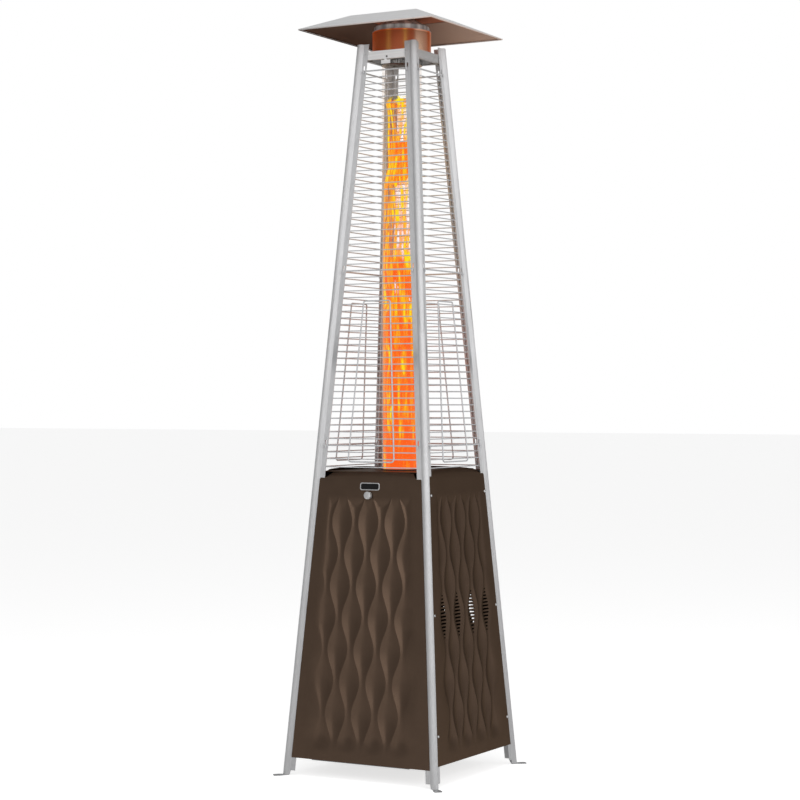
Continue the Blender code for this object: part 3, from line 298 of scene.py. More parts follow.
def leg_outline():
    """Outside of a front right leg from above: left flange, bead, right flange."""
    steps = 20
    middle = math.radians(-45)
    inward = Vector((-math.cos(middle), -math.sin(middle)))
    arc = []
    for step in range(steps + 1):
        angle = middle - quarter + step / steps * math.pi
        arc.append(bead_radius * Vector((math.cos(angle), math.sin(angle))))
    start = -flange_start - flange_notch
    left = [Vector((-flange_end, -flange_step)), Vector((start, -flange_step)), arc[0] + bead_side * inward]
    right = [Vector((-point.y, -point.x)) for point in reversed(left)]
    return left + arc + right


def leg_sheet_surface():
    outline = leg_outline()
    levels = [leg_bottom + (leg_top - leg_bottom) * step / leg_rows for step in range(leg_rows + 1)]

    def place(column, row):
        point = outline[column]
        on_flange = column < 2 or column > len(outline) - 3
        z = levels[row] + (flange_lift if row == 0 and on_flange else 0)
        return Vector((post(z) + point.x, -post(z) + point.y, z))

    return grid_sheet(len(outline), len(levels), place)


def leg_slots():
    """Cutting tools for the slots of both flanges, which mirror each other across the bead."""
    across_bead = Matrix(((0, -1, 0), (-1, 0, 0), (0, 0, 1))).to_4x4()
    tools = []
    for height in hook_heights:
        reach = post(height) - flange_end + slot_from_end
        tool = slot_tool(slot_width, slot_height, slot_cut, (reach, -post(height), height + slot_rise))
        other = tool.copy()
        bmesh.ops.transform(other, matrix=across_bead, verts=other.verts)
        bmesh.ops.reverse_faces(other, faces=other.faces)
        tools += [tool, other]
    return gather(tools)


leg_steel = brushed_steel("leg brushed steel", (0.585, 0.585, 0.592), (900, 900, 7), 0.55, 0.8, metal=0.8)
for corner, corner_name in enumerate(corner_names):
    leg = work_sheet(leg_sheet_surface(), leg_sheet, leg_slots())
    add_piece("rolled_leg_" + corner_name, leg, leg_steel,
              ["leg_" + corner_name], turn=corner * quarter)


# Feet. A tab of thicker steel, bent outwards at the floor, is spot-welded inside each bead.
# Its hole takes a ground screw.
foot_steel = brushed_steel("foot steel", (0.45, 0.45, 0.455), (60, 60, 60), 0.42)
for corner_name in corner_names:
    nodes["foot_" + corner_name].data.materials.clear()
    nodes["foot_" + corner_name].data.materials.append(foot_steel)


# Base plate with its cylinder ring, deck plate and the sill that the door stands on. All are
# folded sheet steel. Plate, ring and deck are powder coated brown, the sill is left bare.
def painted_steel(name, color, roughness=0.34):
    """Brown powder coat: fine orange peel, faint mottling and a soft sheen."""
    finish, shader, place = start_finish(name, metallic=0.8, specular_ior_level=0.0,
                                         specular_tint=(0.5, 0.48, 0.45, 1))
    peel = grain(place, (1, 1, 1), 900.0, 2.0)
    mottle = grain(place, (1, 1, 1), 18.0, 4.0)
    dark = tuple(part * 0.97 for part in color)
    light = tuple(part * 1.03 for part in color)
    mixed(ramp(mottle, 0.35, 0.65), dark, light).feed(shader, "Base Color")
    (roughness + (peel - 0.5) * 0.15 + (mottle - 0.5) * 0.03).feed(shader, "Roughness")
    bumped(peel, 0.12, 0.0003).feed(shader, "Normal")
    return finish


def dress(names, finish):
    """Give CAD nodes a finish in their first material slot."""
    for name in names:
        if not nodes[name].material_slots:
            nodes[name].data.materials.append(finish)
        nodes[name].material_slots[0].material = finish


brown_paint = painted_steel("brown powder coat", (0.107, 0.071, 0.050))
dress(["base_plate", "cylinder_ring", "deck_plate"], brown_paint)
dress(["door_sill", "door_strike"], foot_steel)


# Side panels and door. Deep-drawn sheet steel with scalloped dishes, powder coated brown. The
# top edge is folded to a sloping shoulder and the bottom edge to a hem. Three have vent slots.
panel_sheet = 0.0015
panel_bottom = 0.062
panel_crease = 0.893
panel_top = 0.909
door_drop = 0.009
shoulder_inset = 0.018
shoulder_slant = 0.018
shoulder_crown = 0.004
shoulder_clearance = 0.002
panel_side_gap = 0.0008
lens_columns = 7
lens_spacing = 0.0895
lens_row = 0.0938
lens_top_row = 0.703
lens_swing = 0.0119
lens_depth = 0.0075
lens_bottom_share = 0.5
lens_margin = 0.040
lens_line_step = 0.003
lens_steps = 12
fade_top = 0.780
fade_bottom = 0.026
fade_length = 0.055
field_rows = 150
field_start = 0.002
crease_bend = 0.005
fold_rise = 0.0006
hem = 0.009
hem_fold = 0.002
lip = 0.003
vented_row = 3
vented_columns = (-3, -1, 1, 3)
vent_slots = 13
vent_pitch = 0.0102
vent_height = 0.0052
vent_narrowest = 0.006
vent_swell = 0.031
vent_cut = 0.06


def panel_outside(z):
    return flange_outside(z) + gap + panel_sheet


def lens_half_width(column, height):
    """Half width of a column of dishes at a height above the panel's bottom edge."""
    sign = 1 if column % 2 == 0 else -1
    return lens_spacing / 4 + sign * lens_swing * math.cos(math.pi * (height - lens_top_row) / lens_row)


def eased(share):
    """Soft step from 0 to 1."""
    share = min(1.0, max(0.0, share))
    return share * share * (3 - 2 * share)


def dish_profile(across):
    """Share of a dish's depth, across from -1 to 1: straight walls and a rounded bottom."""
    wall = 1 - lens_bottom_share / 2
    if abs(across) > lens_bottom_share:
        return (1 - abs(across)) / wall
    return 1 - across * across / (2 * lens_bottom_share * wall)


def relief_line(height, half):
    """Points of the pressing across a panel at a height: (x, depth) pairs.

    The dishes grow shallow towards the bottom hem. Under the top band they are cut short to a
    flat, so that their ridges start thin.
    """
    side = lens_columns // 2
    limit = half - lens_margin
    ridges = []
    for index in range(lens_columns + 1):
        column = index - side
        if index < lens_columns:
            x = column * lens_spacing / 2 - lens_half_width(column, height)
        else:
            x = side * lens_spacing / 2 + lens_half_width(side, height)
        low = -limit + index * lens_line_step
        high = limit - (lens_columns - index) * lens_line_step
        ridges.append(min(high, max(low, x)))
    widest = lens_spacing / 4 + lens_swing
    fullness = eased((height - fade_bottom) / fade_length)
    deepest = lens_depth * eased((fade_top - height) / fade_length)
    points = []
    for left, right in zip(ridges, ridges[1:]):
        reach = (right - left) / 2
        depth = lens_depth * fullness * reach / widest
        full_wall = 1 - lens_bottom_share
        wall = max(0.05, min(full_wall, (1 + full_wall) / 2 * deepest / max(depth, 0.00001)))
        floor_steps = lens_steps - 4
        stops = [-1, -1 + wall / 2]
        stops += [(1 - wall) * (2 * step / floor_steps - 1) for step in range(floor_steps + 1)]
        stops.append(1 - wall / 2)
        for across in stops:
            points.append((left + (across + 1) * reach, min(depth * dish_profile(across), deepest)))
    points.append((ridges[-1], 0.0))
    return points


def panel_surface(drop):
    """Pressed panel at the front: hem, dished field, crease and sloping shoulder."""
    bottom = panel_bottom - drop
    crease = panel_crease - drop
    top = panel_top - drop
    rows = [("hem", hem), ("hem", hem_fold), ("fold", fold_rise)]
    for step in range(field_rows):
        rise = (crease - crease_bend - bottom - field_start) * step / field_rows
        rows.append(("flat", bottom + field_start + rise))
    rows += [("bend", step / 4) for step in range(5)]
    rows += [("slope", share) for share in (0.5, 0.75, 0.97, 1.0)]
    rows.append(("lip", lip))
    columns = lens_columns * lens_steps + 1 + 6

    def across(z):
        half = post(z) - flange_start - panel_side_gap
        inner = post(z) - flange_end - shoulder_clearance
        line = relief_line(z - bottom, half)
        outer = half - lens_margin
        left = [(-half, 0.0), (-inner, 0.0), (-(inner + outer) / 2, 0.0)]
        right = [(-x, depth) for x, depth in reversed(left)]
        return left + line + right, inner

    lines = {}

    def line_at(z):
        if z not in lines:
            lines[z] = across(z)
        return lines[z]

    def slope_point(x, inner, share):
        crown = shoulder_crown * (1 - (x / inner) ** 2)
        z = crease + share * (top + crown - crease)
        narrow = 1 - share * shoulder_slant / inner
        return Vector((x * narrow, -panel_outside(crease) + share * shoulder_inset, z))

    def place(column, row):
        kind, value = rows[row]
        if kind == "flat":
            x, depth = line_at(value)[0][column]
            return Vector((x, -panel_outside(value) + depth, value))
        if kind in ("hem", "fold"):
            x = line_at(bottom)[0][column][0]
            z = bottom + (fold_rise if kind == "fold" else 0)
            return Vector((x, -panel_outside(bottom) + value, z))
        points, inner = line_at(crease)
        x = points[column][0]
        if kind == "bend":
            low = crease - crease_bend
            start = Vector((line_at(low)[0][column][0], -panel_outside(low), low))
            corner = Vector((x, -panel_outside(crease), crease))
            end = slope_point(x, inner, crease_bend / (top - crease))
            first = start.lerp(corner, value)
            return first.lerp(corner.lerp(end, value), value)
        if kind == "slope":
            return slope_point(x, inner, value)
        return slope_point(x, inner, 1.0) + Vector((0, value, 0))

    bm = grid_sheet(columns, len(rows), place)
    bm.faces.ensure_lookup_table()
    spare = []
    for index, face in enumerate(bm.faces):
        row, column = divmod(index, columns - 1)
        edge = min(column, columns - 2 - column)
        above = row >= field_rows + 6
        if (row < 2 and edge < 3) or (above and edge < 1):
            spare.append(face)
    bmesh.ops.delete(bm, geom=spare, context="FACES")
    return bm


def vent_tools(bottom):
    """Slots across the wide dishes of the vented row, longest in the middle of a dish."""
    centre_z = bottom + lens_top_row - vented_row * lens_row
    lie_flat = Matrix.Rotation(quarter, 3, "Y")
    tools = []
    for column in vented_columns:
        for slot in range(vent_slots):
            from_middle = slot - vent_slots // 2
            z = centre_z + from_middle * vent_pitch
            width = vent_narrowest + vent_swell * math.cos(from_middle / vent_slots * math.pi) ** 1.5
            tool = slot_tool(vent_height, width, vent_cut, (0, 0, 0))
            bmesh.ops.rotate(tool, verts=tool.verts, cent=(0, 0, 0), matrix=lie_flat)
            place = (column * lens_spacing / 2, -panel_outside(z), z)
            bmesh.ops.translate(tool, verts=tool.verts, vec=place)
            tools.append(tool)
    return gather(tools)


side_turns = {"right": quarter, "rear": 2 * quarter, "left": 3 * quarter}
door = work_sheet(panel_surface(door_drop), panel_sheet)
add_piece("pressed_door", door, brown_paint, ["front_door"], body="door", sharp=18)
for side_name, side_turn in side_turns.items():
    panel = work_sheet(panel_surface(0.0), panel_sheet, vent_tools(panel_bottom))
    add_piece("pressed_panel_" + side_name, panel, brown_paint,
              [side_name + "_panel"], turn=side_turn, sharp=18)


# Panel screws. Zinc-plated pan-head screws with a cross recess fix the right, rear and left
# panels to the leg flanges, three down each side of a panel.
def turned(profile, steps=24):
    """Turn a profile of (radius, height) points about Z."""
    bm = bmesh.new()
    points = [bm.verts.new((radius, 0, height)) for radius, height in profile]
    edges = [bm.edges.new(pair) for pair in zip(points, points[1:])]
    bmesh.ops.spin(bm, geom=points + edges, axis=(0, 0, 1), cent=(0, 0, 0), steps=steps, angle=2 * math.pi)
    bmesh.ops.remove_doubles(bm, verts=bm.verts, dist=0.00001)
    bmesh.ops.recalc_face_normals(bm, faces=bm.faces)
    return bm


def put(bm, x, y, z, lean_angle=0.0):
    """Turn a piece made along Z to face -Y, lean it with a side and move it."""
    turn = Matrix.Rotation(quarter - lean_angle, 4, "X")
    bmesh.ops.transform(bm, matrix=Matrix.Translation((x, y, z)) @ turn, verts=bm.verts)
    return bm


def pan_screw(radius, height):
    """Screw head with a domed top and a cross recess."""
    profile = [(0, 0), (radius, 0), (radius, height * 0.35), (radius * 0.86, height * 0.75),
               (radius * 0.55, height * 0.96), (radius * 0.5, height), (0, height)]
    head = turned(profile, 20)
    bars = []
    for angle in (0, quarter):
        bar = bmesh.new()
        bmesh.ops.create_cube(bar, size=1.0)
        bmesh.ops.scale(bar, verts=bar.verts, vec=(radius * 1.1, radius * 0.24, height * 0.8))
        bmesh.ops.rotate(bar, verts=bar.verts, cent=(0, 0, 0), matrix=Matrix.Rotation(angle, 3, "Z"))
        bmesh.ops.translate(bar, verts=bar.verts, vec=(0, 0, height))
        bars.append(bar)
    return work_sheet(work_sheet(head, cutter=bars[0]), cutter=bars[1])


zinc = brushed_steel("zinc plate", (0.62, 0.62, 0.62), (400, 400, 400), 0.3)
screw_heights = (0.838, 0.492, 0.148)
screw_inset = 0.0205
head_gap = 0.0001
screw_master = pan_screw(0.0042, 0.0032)
for side_name, side_turn in side_turns.items():
    heads = []
    for z in screw_heights:
        for hand in (-1, 1):
            x = hand * (post(z) - screw_inset)
            heads.append(put(screw_master.copy(), x, -panel_outside(z) - head_gap, z, tilt))
    add_piece("panel_screws_" + side_name, gather(heads), zinc, turn=side_turn)
screw_master.free()


# Door furniture. The pull knob is turned and satin chromed, and bolted through the door. The
# badge plate is black enamel, left bare, in a bright rolled border.
knob_metal, knob_shader, knob_place = start_finish("satin chrome", metallic=0.6)
knob_grain = grain(knob_place, (1, 1, 1), 120.0)
mixed(knob_grain, (0.52, 0.52, 0.525), (0.63, 0.63, 0.635)).feed(knob_shader, "Base Color")
(0.36 + knob_grain * 0.12).feed(knob_shader, "Roughness")
knob_height = 0.8347
knob_profile = [(0, 0.0141), (0.0100, 0.0141), (0.0109, 0.0137), (0.0112, 0.0130), (0.0112, 0.0038),
                (0.0106, 0.0030), (0.006, 0.0028), (0.006, 0), (0, 0)]
knob = put(turned(knob_profile, 40), 0, -panel_outside(knob_height), knob_height, tilt)
add_piece("pull_knob", knob, knob_metal, ["door_knob"], body="door")


def rounded_ring(half_width, half_height, corner, steps=6):
    ring = []
    for index, (sx, sy) in enumerate(((1, 1), (-1, 1), (-1, -1), (1, -1))):
        for step in range(steps + 1):
            angle = (index + step / steps) * quarter
            ring.append((sx * (half_width - corner) + corner * math.cos(angle),
                         sy * (half_height - corner) + corner * math.sin(angle)))
    return ring


def bridge(bm, layers):
    """Faces from each closed ring of points to the next."""
    for low, high in zip(layers, layers[1:]):
        for index in range(len(low)):
            after = (index + 1) % len(low)
            bm.faces.new((low[index], low[after], high[after], high[index]))


def stacked(rings):
    """Closed solid through rings of (x, y) points at heights, capped at both ends."""
    bm = bmesh.new()
    layers = [[bm.verts.new((x, y, height)) for x, y in ring] for ring, height in rings]
    bridge(bm, layers)
    bm.faces.new(list(reversed(layers[0])))
    bm.faces.new(layers[-1])
    return bm


badge_height = 0.8612
badge_shift = 0.0013
badge_black, badge_shader, badge_place = start_finish("badge enamel")
badge_grain = grain(badge_place, (1, 1, 1), 300.0)
badge_shader.inputs["Specular IOR Level"].default_value = 0.2
mixed(badge_grain, (0.004, 0.004, 0.004), (0.010, 0.010, 0.010)).feed(badge_shader, "Base Color")
(0.3 + badge_grain * 0.15).feed(badge_shader, "Roughness")
enamel_ring = rounded_ring(0.0303, 0.0087, 0.0040)
enamel = stacked([(enamel_ring, 0.0003), (enamel_ring, 0.0014)])
put(enamel, badge_shift, -panel_outside(badge_height), badge_height, tilt)
add_piece("badge_field", enamel, badge_black, ["badge_plate"], body="door")
# Half width, half height and corner of the border's outline at each height over the door
border_profile = [(0.0330, 0.0110, 0.0060, 0.0003), (0.0330, 0.0110, 0.0060, 0.0016),
                  (0.0327, 0.0107, 0.0058, 0.0019), (0.0304, 0.0088, 0.0042, 0.0019),
                  (0.0301, 0.0085, 0.0040, 0.0014), (0.0301, 0.0085, 0.0040, 0.0003)]
border = bmesh.new()
border_layers = []
for half_width, half_height, bend, height in border_profile:
    ring = rounded_ring(half_width, half_height, bend)
    border_layers.append([border.verts.new((x, y, height)) for x, y in ring])
bridge(border, border_layers + border_layers[:1])
put(border, badge_shift, -panel_outside(badge_height), badge_height, tilt)
add_piece("badge_border", border, knob_metal, body="door")


# Guards. Sixty round wires are spot-welded to two upright rods. Three thicker wires end in
# hooks that pass through the slots of the legs.
guard_bottom = 0.9155
guard_top = 2.1035
guard_wires = 60
lowest_wire = 0.917
second_wire = 0.9412
wire_spacing = 0.020016
wire_radius = 0.0016
hook_radius = 0.0024
rod_radius = 0.002
wire_inset = 0.0185
rod_inset = 0.021
rod_behind = 0.003
hook_reach = 0.0075
hook_drop = 0.008
hook_wires = (3, 29, 59)


def straight_wire(start, end, radius, sides=10):
    """Round bar between two points, with its ends closed."""
    span = end - start
    bm = bmesh.new()
    bmesh.ops.create_cone(bm, cap_ends=True, segments=sides, radius1=radius, radius2=radius,
                          depth=span.length)
    turn = span.to_track_quat("Z", "Y").to_matrix().to_4x4()
    bmesh.ops.transform(bm, matrix=Matrix.Translation((start + end) / 2) @ turn, verts=bm.verts)
    return bm


def bent_wire(route, radius, closed=False, sides=3):
    """Round wire along points, as a mesh."""
    curve = bpy.data.curves.new("wire", "CURVE")
    curve.dimensions = "3D"
    curve.bevel_depth = radius
    curve.bevel_resolution = sides
    curve.use_fill_caps = True
    spline = curve.splines.new("POLY")
    spline.points.add(len(route) - 1)
    spline.use_cyclic_u = closed
    for point, spot in zip(spline.points, route):
        point.co = (*spot, 1)
    drawn = bpy.data.objects.new("wire", curve)
    bpy.context.scene.collection.objects.link(drawn)
    bpy.context.view_layer.update()
    depsgraph = bpy.context.evaluated_depsgraph_get()
    mesh = bpy.data.meshes.new_from_object(drawn.evaluated_get(depsgraph))
    bpy.data.objects.remove(drawn, do_unlink=True)
    bm = bmesh.new()
    bm.from_mesh(mesh)
    bpy.data.meshes.remove(mesh)
    bmesh.ops.remove_doubles(bm, verts=bm.verts, dist=0.00001)
    return bm


def guard_plane(z):
    """Distance of the wires' centres from the axis, behind the leg flanges."""
    return flange_inside(z) - gap - wire_radius


def hook_end(z, hand):
    """End of a hook wire: out through the slot of the flange and down over it."""
    plane = guard_plane(z)
    slot_x = post(z) - flange_end + slot_from_end
    out = plane + hook_reach
    route = [(slot_x - 0.004, plane, z), (slot_x - 0.001, plane + 0.0008, z), (slot_x, plane + 0.003, z),
             (slot_x, out - 0.001, z - 0.0005), (slot_x, out, z - 0.003), (slot_x, out, z - hook_drop)]
    return [Vector((hand * across, -distance, height)) for across, distance, height in route]


wire_steel = brushed_steel("wire steel", (0.60, 0.605, 0.62), (200, 200, 200), 0.55, metal=0.2)
guard_turns = {"front": 0.0, **side_turns}
for side_name, side_turn in guard_turns.items():
    wires = []
    for wire in range(guard_wires):
        z = second_wire + (wire - 1) * wire_spacing if wire else lowest_wire
        if wire in hook_wires:
            route = list(reversed(hook_end(z, -1))) + hook_end(z, 1)
            wires.append(bent_wire(route, hook_radius))
        else:
            left, right = [Vector((hand * (post(z) - wire_inset), -guard_plane(z), z)) for hand in (-1, 1)]
            wires.append(straight_wire(left, right, wire_radius))
    for hand in (-1, 1):
        low, high = [Vector((hand * (post(z) - rod_inset), -guard_plane(z) + rod_behind, z))
                     for z in (guard_bottom, guard_top)]
        wires.append(straight_wire(low, high, rod_radius))
    add_piece("wire_guard_" + side_name, gather(wires), wire_steel,
              ["guard_" + side_name], turn=side_turn)


# Guard loops. A closed loop of thicker wire with rounded corners is welded to the outside of
# each guard and stiffens its lower half.
loop_radius = 0.0022
loop_sink = 0.0002
loop_bend_steps = 8
loop_bottom = 0.933
loop_top = 1.410
loop_bottom_half = 0.0785
loop_top_half = 0.045
loop_bottom_bend = 0.012
loop_top_bend = 0.006


def loop_route():
    """Closed route on the slope of the guard, with its four corners bent round."""
    corners = [(Vector((-loop_bottom_half, loop_bottom)), loop_bottom_bend),
               (Vector((loop_bottom_half, loop_bottom)), loop_bottom_bend),
               (Vector((loop_top_half, loop_top)), loop_top_bend),
               (Vector((-loop_top_half, loop_top)), loop_top_bend)]
    route = []
    for index, (corner, bend) in enumerate(corners):
        before = (corners[index - 1][0] - corner).normalized()
        after = (corners[(index + 1) % len(corners)][0] - corner).normalized()
        for step in range(loop_bend_steps + 1):
            share = step / loop_bend_steps
            first = corner + bend * (1 - share) * before
            second = corner + bend * share * after
            spot = first.lerp(second, share)
            outside = guard_plane(spot.y) + wire_radius + loop_radius - loop_sink
            route.append(Vector((spot.x, -outside, spot.y)))
    return route


for side_name, side_turn in guard_turns.items():
    add_piece("wire_loop_" + side_name, bent_wire(loop_route(), loop_radius, closed=True), wire_steel,
              ["guard_loop_" + side_name], turn=side_turn)


# Glass tube. A clear borosilicate tube stands in a silicone seat on the deck; a steel collar
# holds its top end.
glass, glass_shader, glass_place = start_finish("clear glass", roughness=0.04)
glass_edge = glass_place.node("LayerWeight", None, {"Blend": 0.35}, "Facing")
glass_tone = grain(glass_place, (1, 1, 0.1), 30.0)
mixed(glass_tone, (0.86, 0.84, 0.80), (0.95, 0.94, 0.91)).feed(glass_shader, "Base Color")
# Painted glow: the glass gives off a faint peach light, standing in for the flame's light in it.
mixed(glass_tone, (0.92, 0.60, 0.40), (1.0, 0.70, 0.48)).feed(glass_shader, "Emission Color")
glass_shader.inputs["Emission Strength"].default_value = 0.35
(0.014 + glass_edge * glass_edge * 0.36).feed(glass_shader, "Alpha")
tube_low = 0.907
tube_high = 2.1386
tube_outside = 0.060
tube_inside = 0.057
fire_polish = 0.0007
tube_shoulder = tube_high - fire_polish
tube_profile = [(tube_outside, tube_low), (tube_outside, tube_shoulder),
                (tube_outside - fire_polish, tube_high), (tube_inside + fire_polish, tube_high),
                (tube_inside, tube_shoulder), (tube_inside, tube_low), (tube_outside, tube_low)]
add_piece("clear_tube", turned(tube_profile, 96), glass, ["glass_tube"])
rubber, rubber_shader, rubber_place = start_finish("silicone rubber")
rubber_grain = grain(rubber_place, (1, 1, 1), 400.0)
mixed(rubber_grain, (0.02, 0.02, 0.02), (0.04, 0.04, 0.04)).feed(rubber_shader, "Base Color")
(0.65 + rubber_grain * 0.2).feed(rubber_shader, "Roughness")
seat_profile = [(0.0560, 0.9048), (0.0630, 0.9048), (0.0630, 0.9080), (0.0626, 0.9085), (0.0606, 0.9085),
                (0.0602, 0.9080), (0.0602, 0.9068), (0.0560, 0.9068), (0.0560, 0.9048)]
add_piece("seat_ring", turned(seat_profile, 72), rubber, ["tube_seat"])


# Burner under the tube. The head is cast iron, the pan with its mixing tube is pressed steel,
# the pilot, probe, valve and gas pipe are brass, and the spark rod stands in glazed ceramic.
def cast_iron(name, dark, light, scale):
    finish, shader, place = start_finish(name, metallic=0.6)
    pits = grain(place, (1, 1, 1), scale, 5.0)
    mixed(pits, dark, light).feed(shader, "Base Color")
    (0.55 + pits * 0.3).feed(shader, "Roughness")
    bumped(pits, 0.4, 0.0006).feed(shader, "Normal")
    return finish


dress(["burner_head"], cast_iron("cast iron", (0.03, 0.028, 0.026), (0.09, 0.08, 0.075), 350.0))
dress(["burner_pan"], brushed_steel("pan steel", (0.35, 0.35, 0.355), (150, 150, 150), 0.4))
brass = brushed_steel("brass", (0.60, 0.42, 0.14), (300, 300, 300), 0.3)
dress(["burner_pipe", "pilot_burner", "thermocouple", "gas_valve", "valve_stem", "inlet_fitting"], brass)
ceramic, ceramic_shader, ceramic_place = start_finish("glazed ceramic", roughness=0.3)
mixed(grain(ceramic_place, (1, 1, 1), 200.0), (0.78, 0.76, 0.70), (0.88, 0.87, 0.83)).feed(
    ceramic_shader, "Base Color")
dress(["spark_electrode"], ceramic)


# Flame. The burning gas fills the tube as a streaky orange column, thin and pale in places and
# ragged towards its top. It glows and has no surface of its own to light.
flame_low = 0.9065
flame_high = 2.040
flame_radius = 0.0564


def along(place, axis):
    """One coordinate of a place or a direction."""
    return place.node("SeparateXYZ", None, {0: place}, axis)


def flame_surface():
    """Upright tongue that follows the tube's wall, drawn in from it on the left near the top."""
    steps = 64
    rows = 110
    tip_share = 0.025
    drawn_in = ((0.0, 0.0), (1.60, 0.0), (1.77, 0.003), (1.82, 0.0115), (1.98, 0.0108),
                (2.01, 0.007), (9.0, 0.007))

    def place(column, row):
        share = row / (rows - 1)
        z = flame_low + (flame_high - flame_low) * share
        angle = column / steps * 2 * math.pi
        left = max(0.0, -0.87 * math.cos(angle) - 0.49 * math.sin(angle))
        for (low, first), (high, second) in zip(drawn_in, drawn_in[1:]):
            if low <= z < high:
                drawn = first + (second - first) * (z - low) / (high - low)
        wave = noise.noise(Vector((math.cos(angle) * 1.5, math.sin(angle) * 1.5, z * 14 + 2.0)))
        tip = math.sqrt(max(0.0, 1 - max(0.0, (share - 1 + tip_share) / tip_share) ** 2))
        radius = flame_radius - left * drawn - drawn * 0.25 * (1 + wave)
        radius *= max(tip, 0.03)
        return Vector((radius * math.cos(angle), radius * math.sin(angle), z))

    return grid_sheet(steps + 1, rows, place)


flame_glow, flame_shader, flame_place = start_finish("flame", roughness=1.0, base_color=(0, 0, 0, 1))
flame_shader.inputs["Specular IOR Level"].default_value = 0.0
flame_shader.inputs["Emission Strength"].default_value = 1.0
flame_x = along(flame_place, "X")
flame_y = along(flame_place, "Y")
flame_z = along(flame_place, "Z")
flame_right = (flame_x * 0.87 + flame_y * 0.49) / flame_radius
flame_warp = grain(flame_place, (12, 12, 6), 1.0, 2.0) - 0.5
flame_shift = flame_place.node("CombineXYZ", None, {0: flame_warp * 0.05, 1: flame_warp * -0.04})
flame_bent = flame_place.node("VectorMath", {"operation": "ADD"}, {0: flame_place, 1: flame_shift})
strands = grain(flame_bent, (80, 80, 8), 1.0, 2.0)
wisps = grain(flame_bent, (150, 150, 14), 1.0, 2.0)
flame_tone = strands * 1.0 + wisps * 0.5 - 0.275 + (flame_z - 1.4) * 0.15
flame_color = flame_tone.node("ValToRGB", {"stops": [
    (0.36, (1.0, 0.11, 0.0)), (0.46, (1.0, 0.18, 0.0)), (0.54, (1.0, 0.28, 0.0)),
    (0.60, (1.0, 0.44, 0.0)), (0.66, (1.0, 0.72, 0.0))]}, {0: flame_tone})
bright_spot = (0.014, -0.048, 2.018)
flame_core = flame_place.node("VectorMath", {"operation": "DISTANCE"},
                              {0: flame_place, 1: bright_spot}, "Value")
mixed(ramp(flame_core, 0.016, 0.005), flame_color, (1.0, 0.80, 0.0)).feed(flame_shader, "Emission Color")
# Height and how dense the flame is there
cover_low = 0.90
cover_high = 2.04
flame_cover = ((cover_low, 0.50), (1.38, 0.50), (1.41, 0.24), (1.44, 0.24), (1.47, 0.50), (1.51, 0.45),
               (1.54, 0.21), (1.78, 0.19), (1.81, 0.46), (1.86, 0.42), (1.875, 0.24), (2.00, 0.19),
               (2.012, 0.34), (2.022, 0.14), (cover_high, 0.0))
cover_shift = flame_warp * 0.35 * ramp(flame_z, 2.0, 1.9)
flame_level = ramp(flame_z + cover_shift, cover_low, cover_high)
flame_body = flame_level.node("ValToRGB", {"stops": [
    ((z - cover_low) / (cover_high - cover_low), (cover, cover, cover)) for z, cover in flame_cover]},
    {0: flame_level})
flame_body = strands * 0.6 + wisps * 0.4 + flame_body - flame_right * 0.03
ramp(flame_body, 0.64, 0.78).feed(flame_shader, "Alpha")
add_piece("flame_column", flame_surface(), flame_glow)


# Top frame. Four angle bars join the legs and carry the vented plate. The front bar has the
# tube's fixing screw and clip.
bar_steel = brushed_steel("bar steel", (0.58, 0.58, 0.58), (160, 160, 160), 0.5, metal=0.6)
# Painted light: the front bar and the tube clip get a whiter, non-metal copy of the bar steel, standing in
# for the light on the front face.
lit_front_bar_steel = brushed_steel("front bar steel painted lit", (0.93, 0.93, 0.93), (7, 900, 900), 0.5, metal=0.0)
dress(["top_bar_right", "top_bar_rear", "top_bar_left"], bar_steel)
dress(["top_bar_front"], lit_front_bar_steel)
plate_steel, plate_shader, plate_place = start_finish("dark-mottled plate", metallic=0.7)
# Near-black and grey mottle at random over the plate and the tube collar.
plate_mottle = grain(plate_place, (1, 1, 1), 350.0, 2.0)
plate_dark_mottle = ramp(plate_mottle, 0.42, 0.58)
mixed(plate_dark_mottle, (0.03, 0.029, 0.028), (0.45, 0.44, 0.43)).feed(plate_shader, "Base Color")
(0.4 + plate_mottle * 0.2).feed(plate_shader, "Roughness")
dress(["top_plate", "tube_collar"], plate_steel)
bar_top = 2.161
bar_face = flange_inside(bar_top) - gap
# Painted shade: the front bar's screw gets a near-black copy of the zinc, standing in for the shadow round
# it.
shaded_zinc = brushed_steel("zinc painted shaded", (0.16, 0.16, 0.16), (400, 400, 400), 0.4)
add_piece("bar_screw", put(pan_screw(0.0030, 0.0022), 0.0005, -bar_face, 2.142), shaded_zinc)
clip_outline = [(-0.020, 2.1217), (0.011, 2.1217), (0.011, 2.1325), (-0.001, 2.1325), (-0.001, 2.150),
                (-0.009, 2.150), (-0.009, 2.1325), (-0.020, 2.1325)]
clip = bmesh.new()
clip.faces.new([clip.verts.new((x, -bar_face + 0.0018, z)) for x, z in clip_outline])
add_piece("tube_clip", work_sheet(clip, 0.0012), lit_front_bar_steel)
fixing_z = 2.150
fixing_y = -flange_outside(fixing_z) - head_gap
for side_name, side_turn in guard_turns.items():
    fixings = [put(pan_screw(0.0028, 0.0018), x, fixing_y, fixing_z, tilt) for x in (-0.070, 0.0665)]
    add_piece("bar_fixings_" + side_name, gather(fixings), zinc, turn=side_turn)


# Emitter. A screen of perforated steel, tinted by heat, glows around the hot gas; pale, gold and
# straw bands painted round it stand in for the lamps' reflections. It stands on the top plate
# between two plain rims, and a pressed steel cap closes it.
screen_low = 2.1396
screen_high = 2.2250
screen_radius = 0.0886


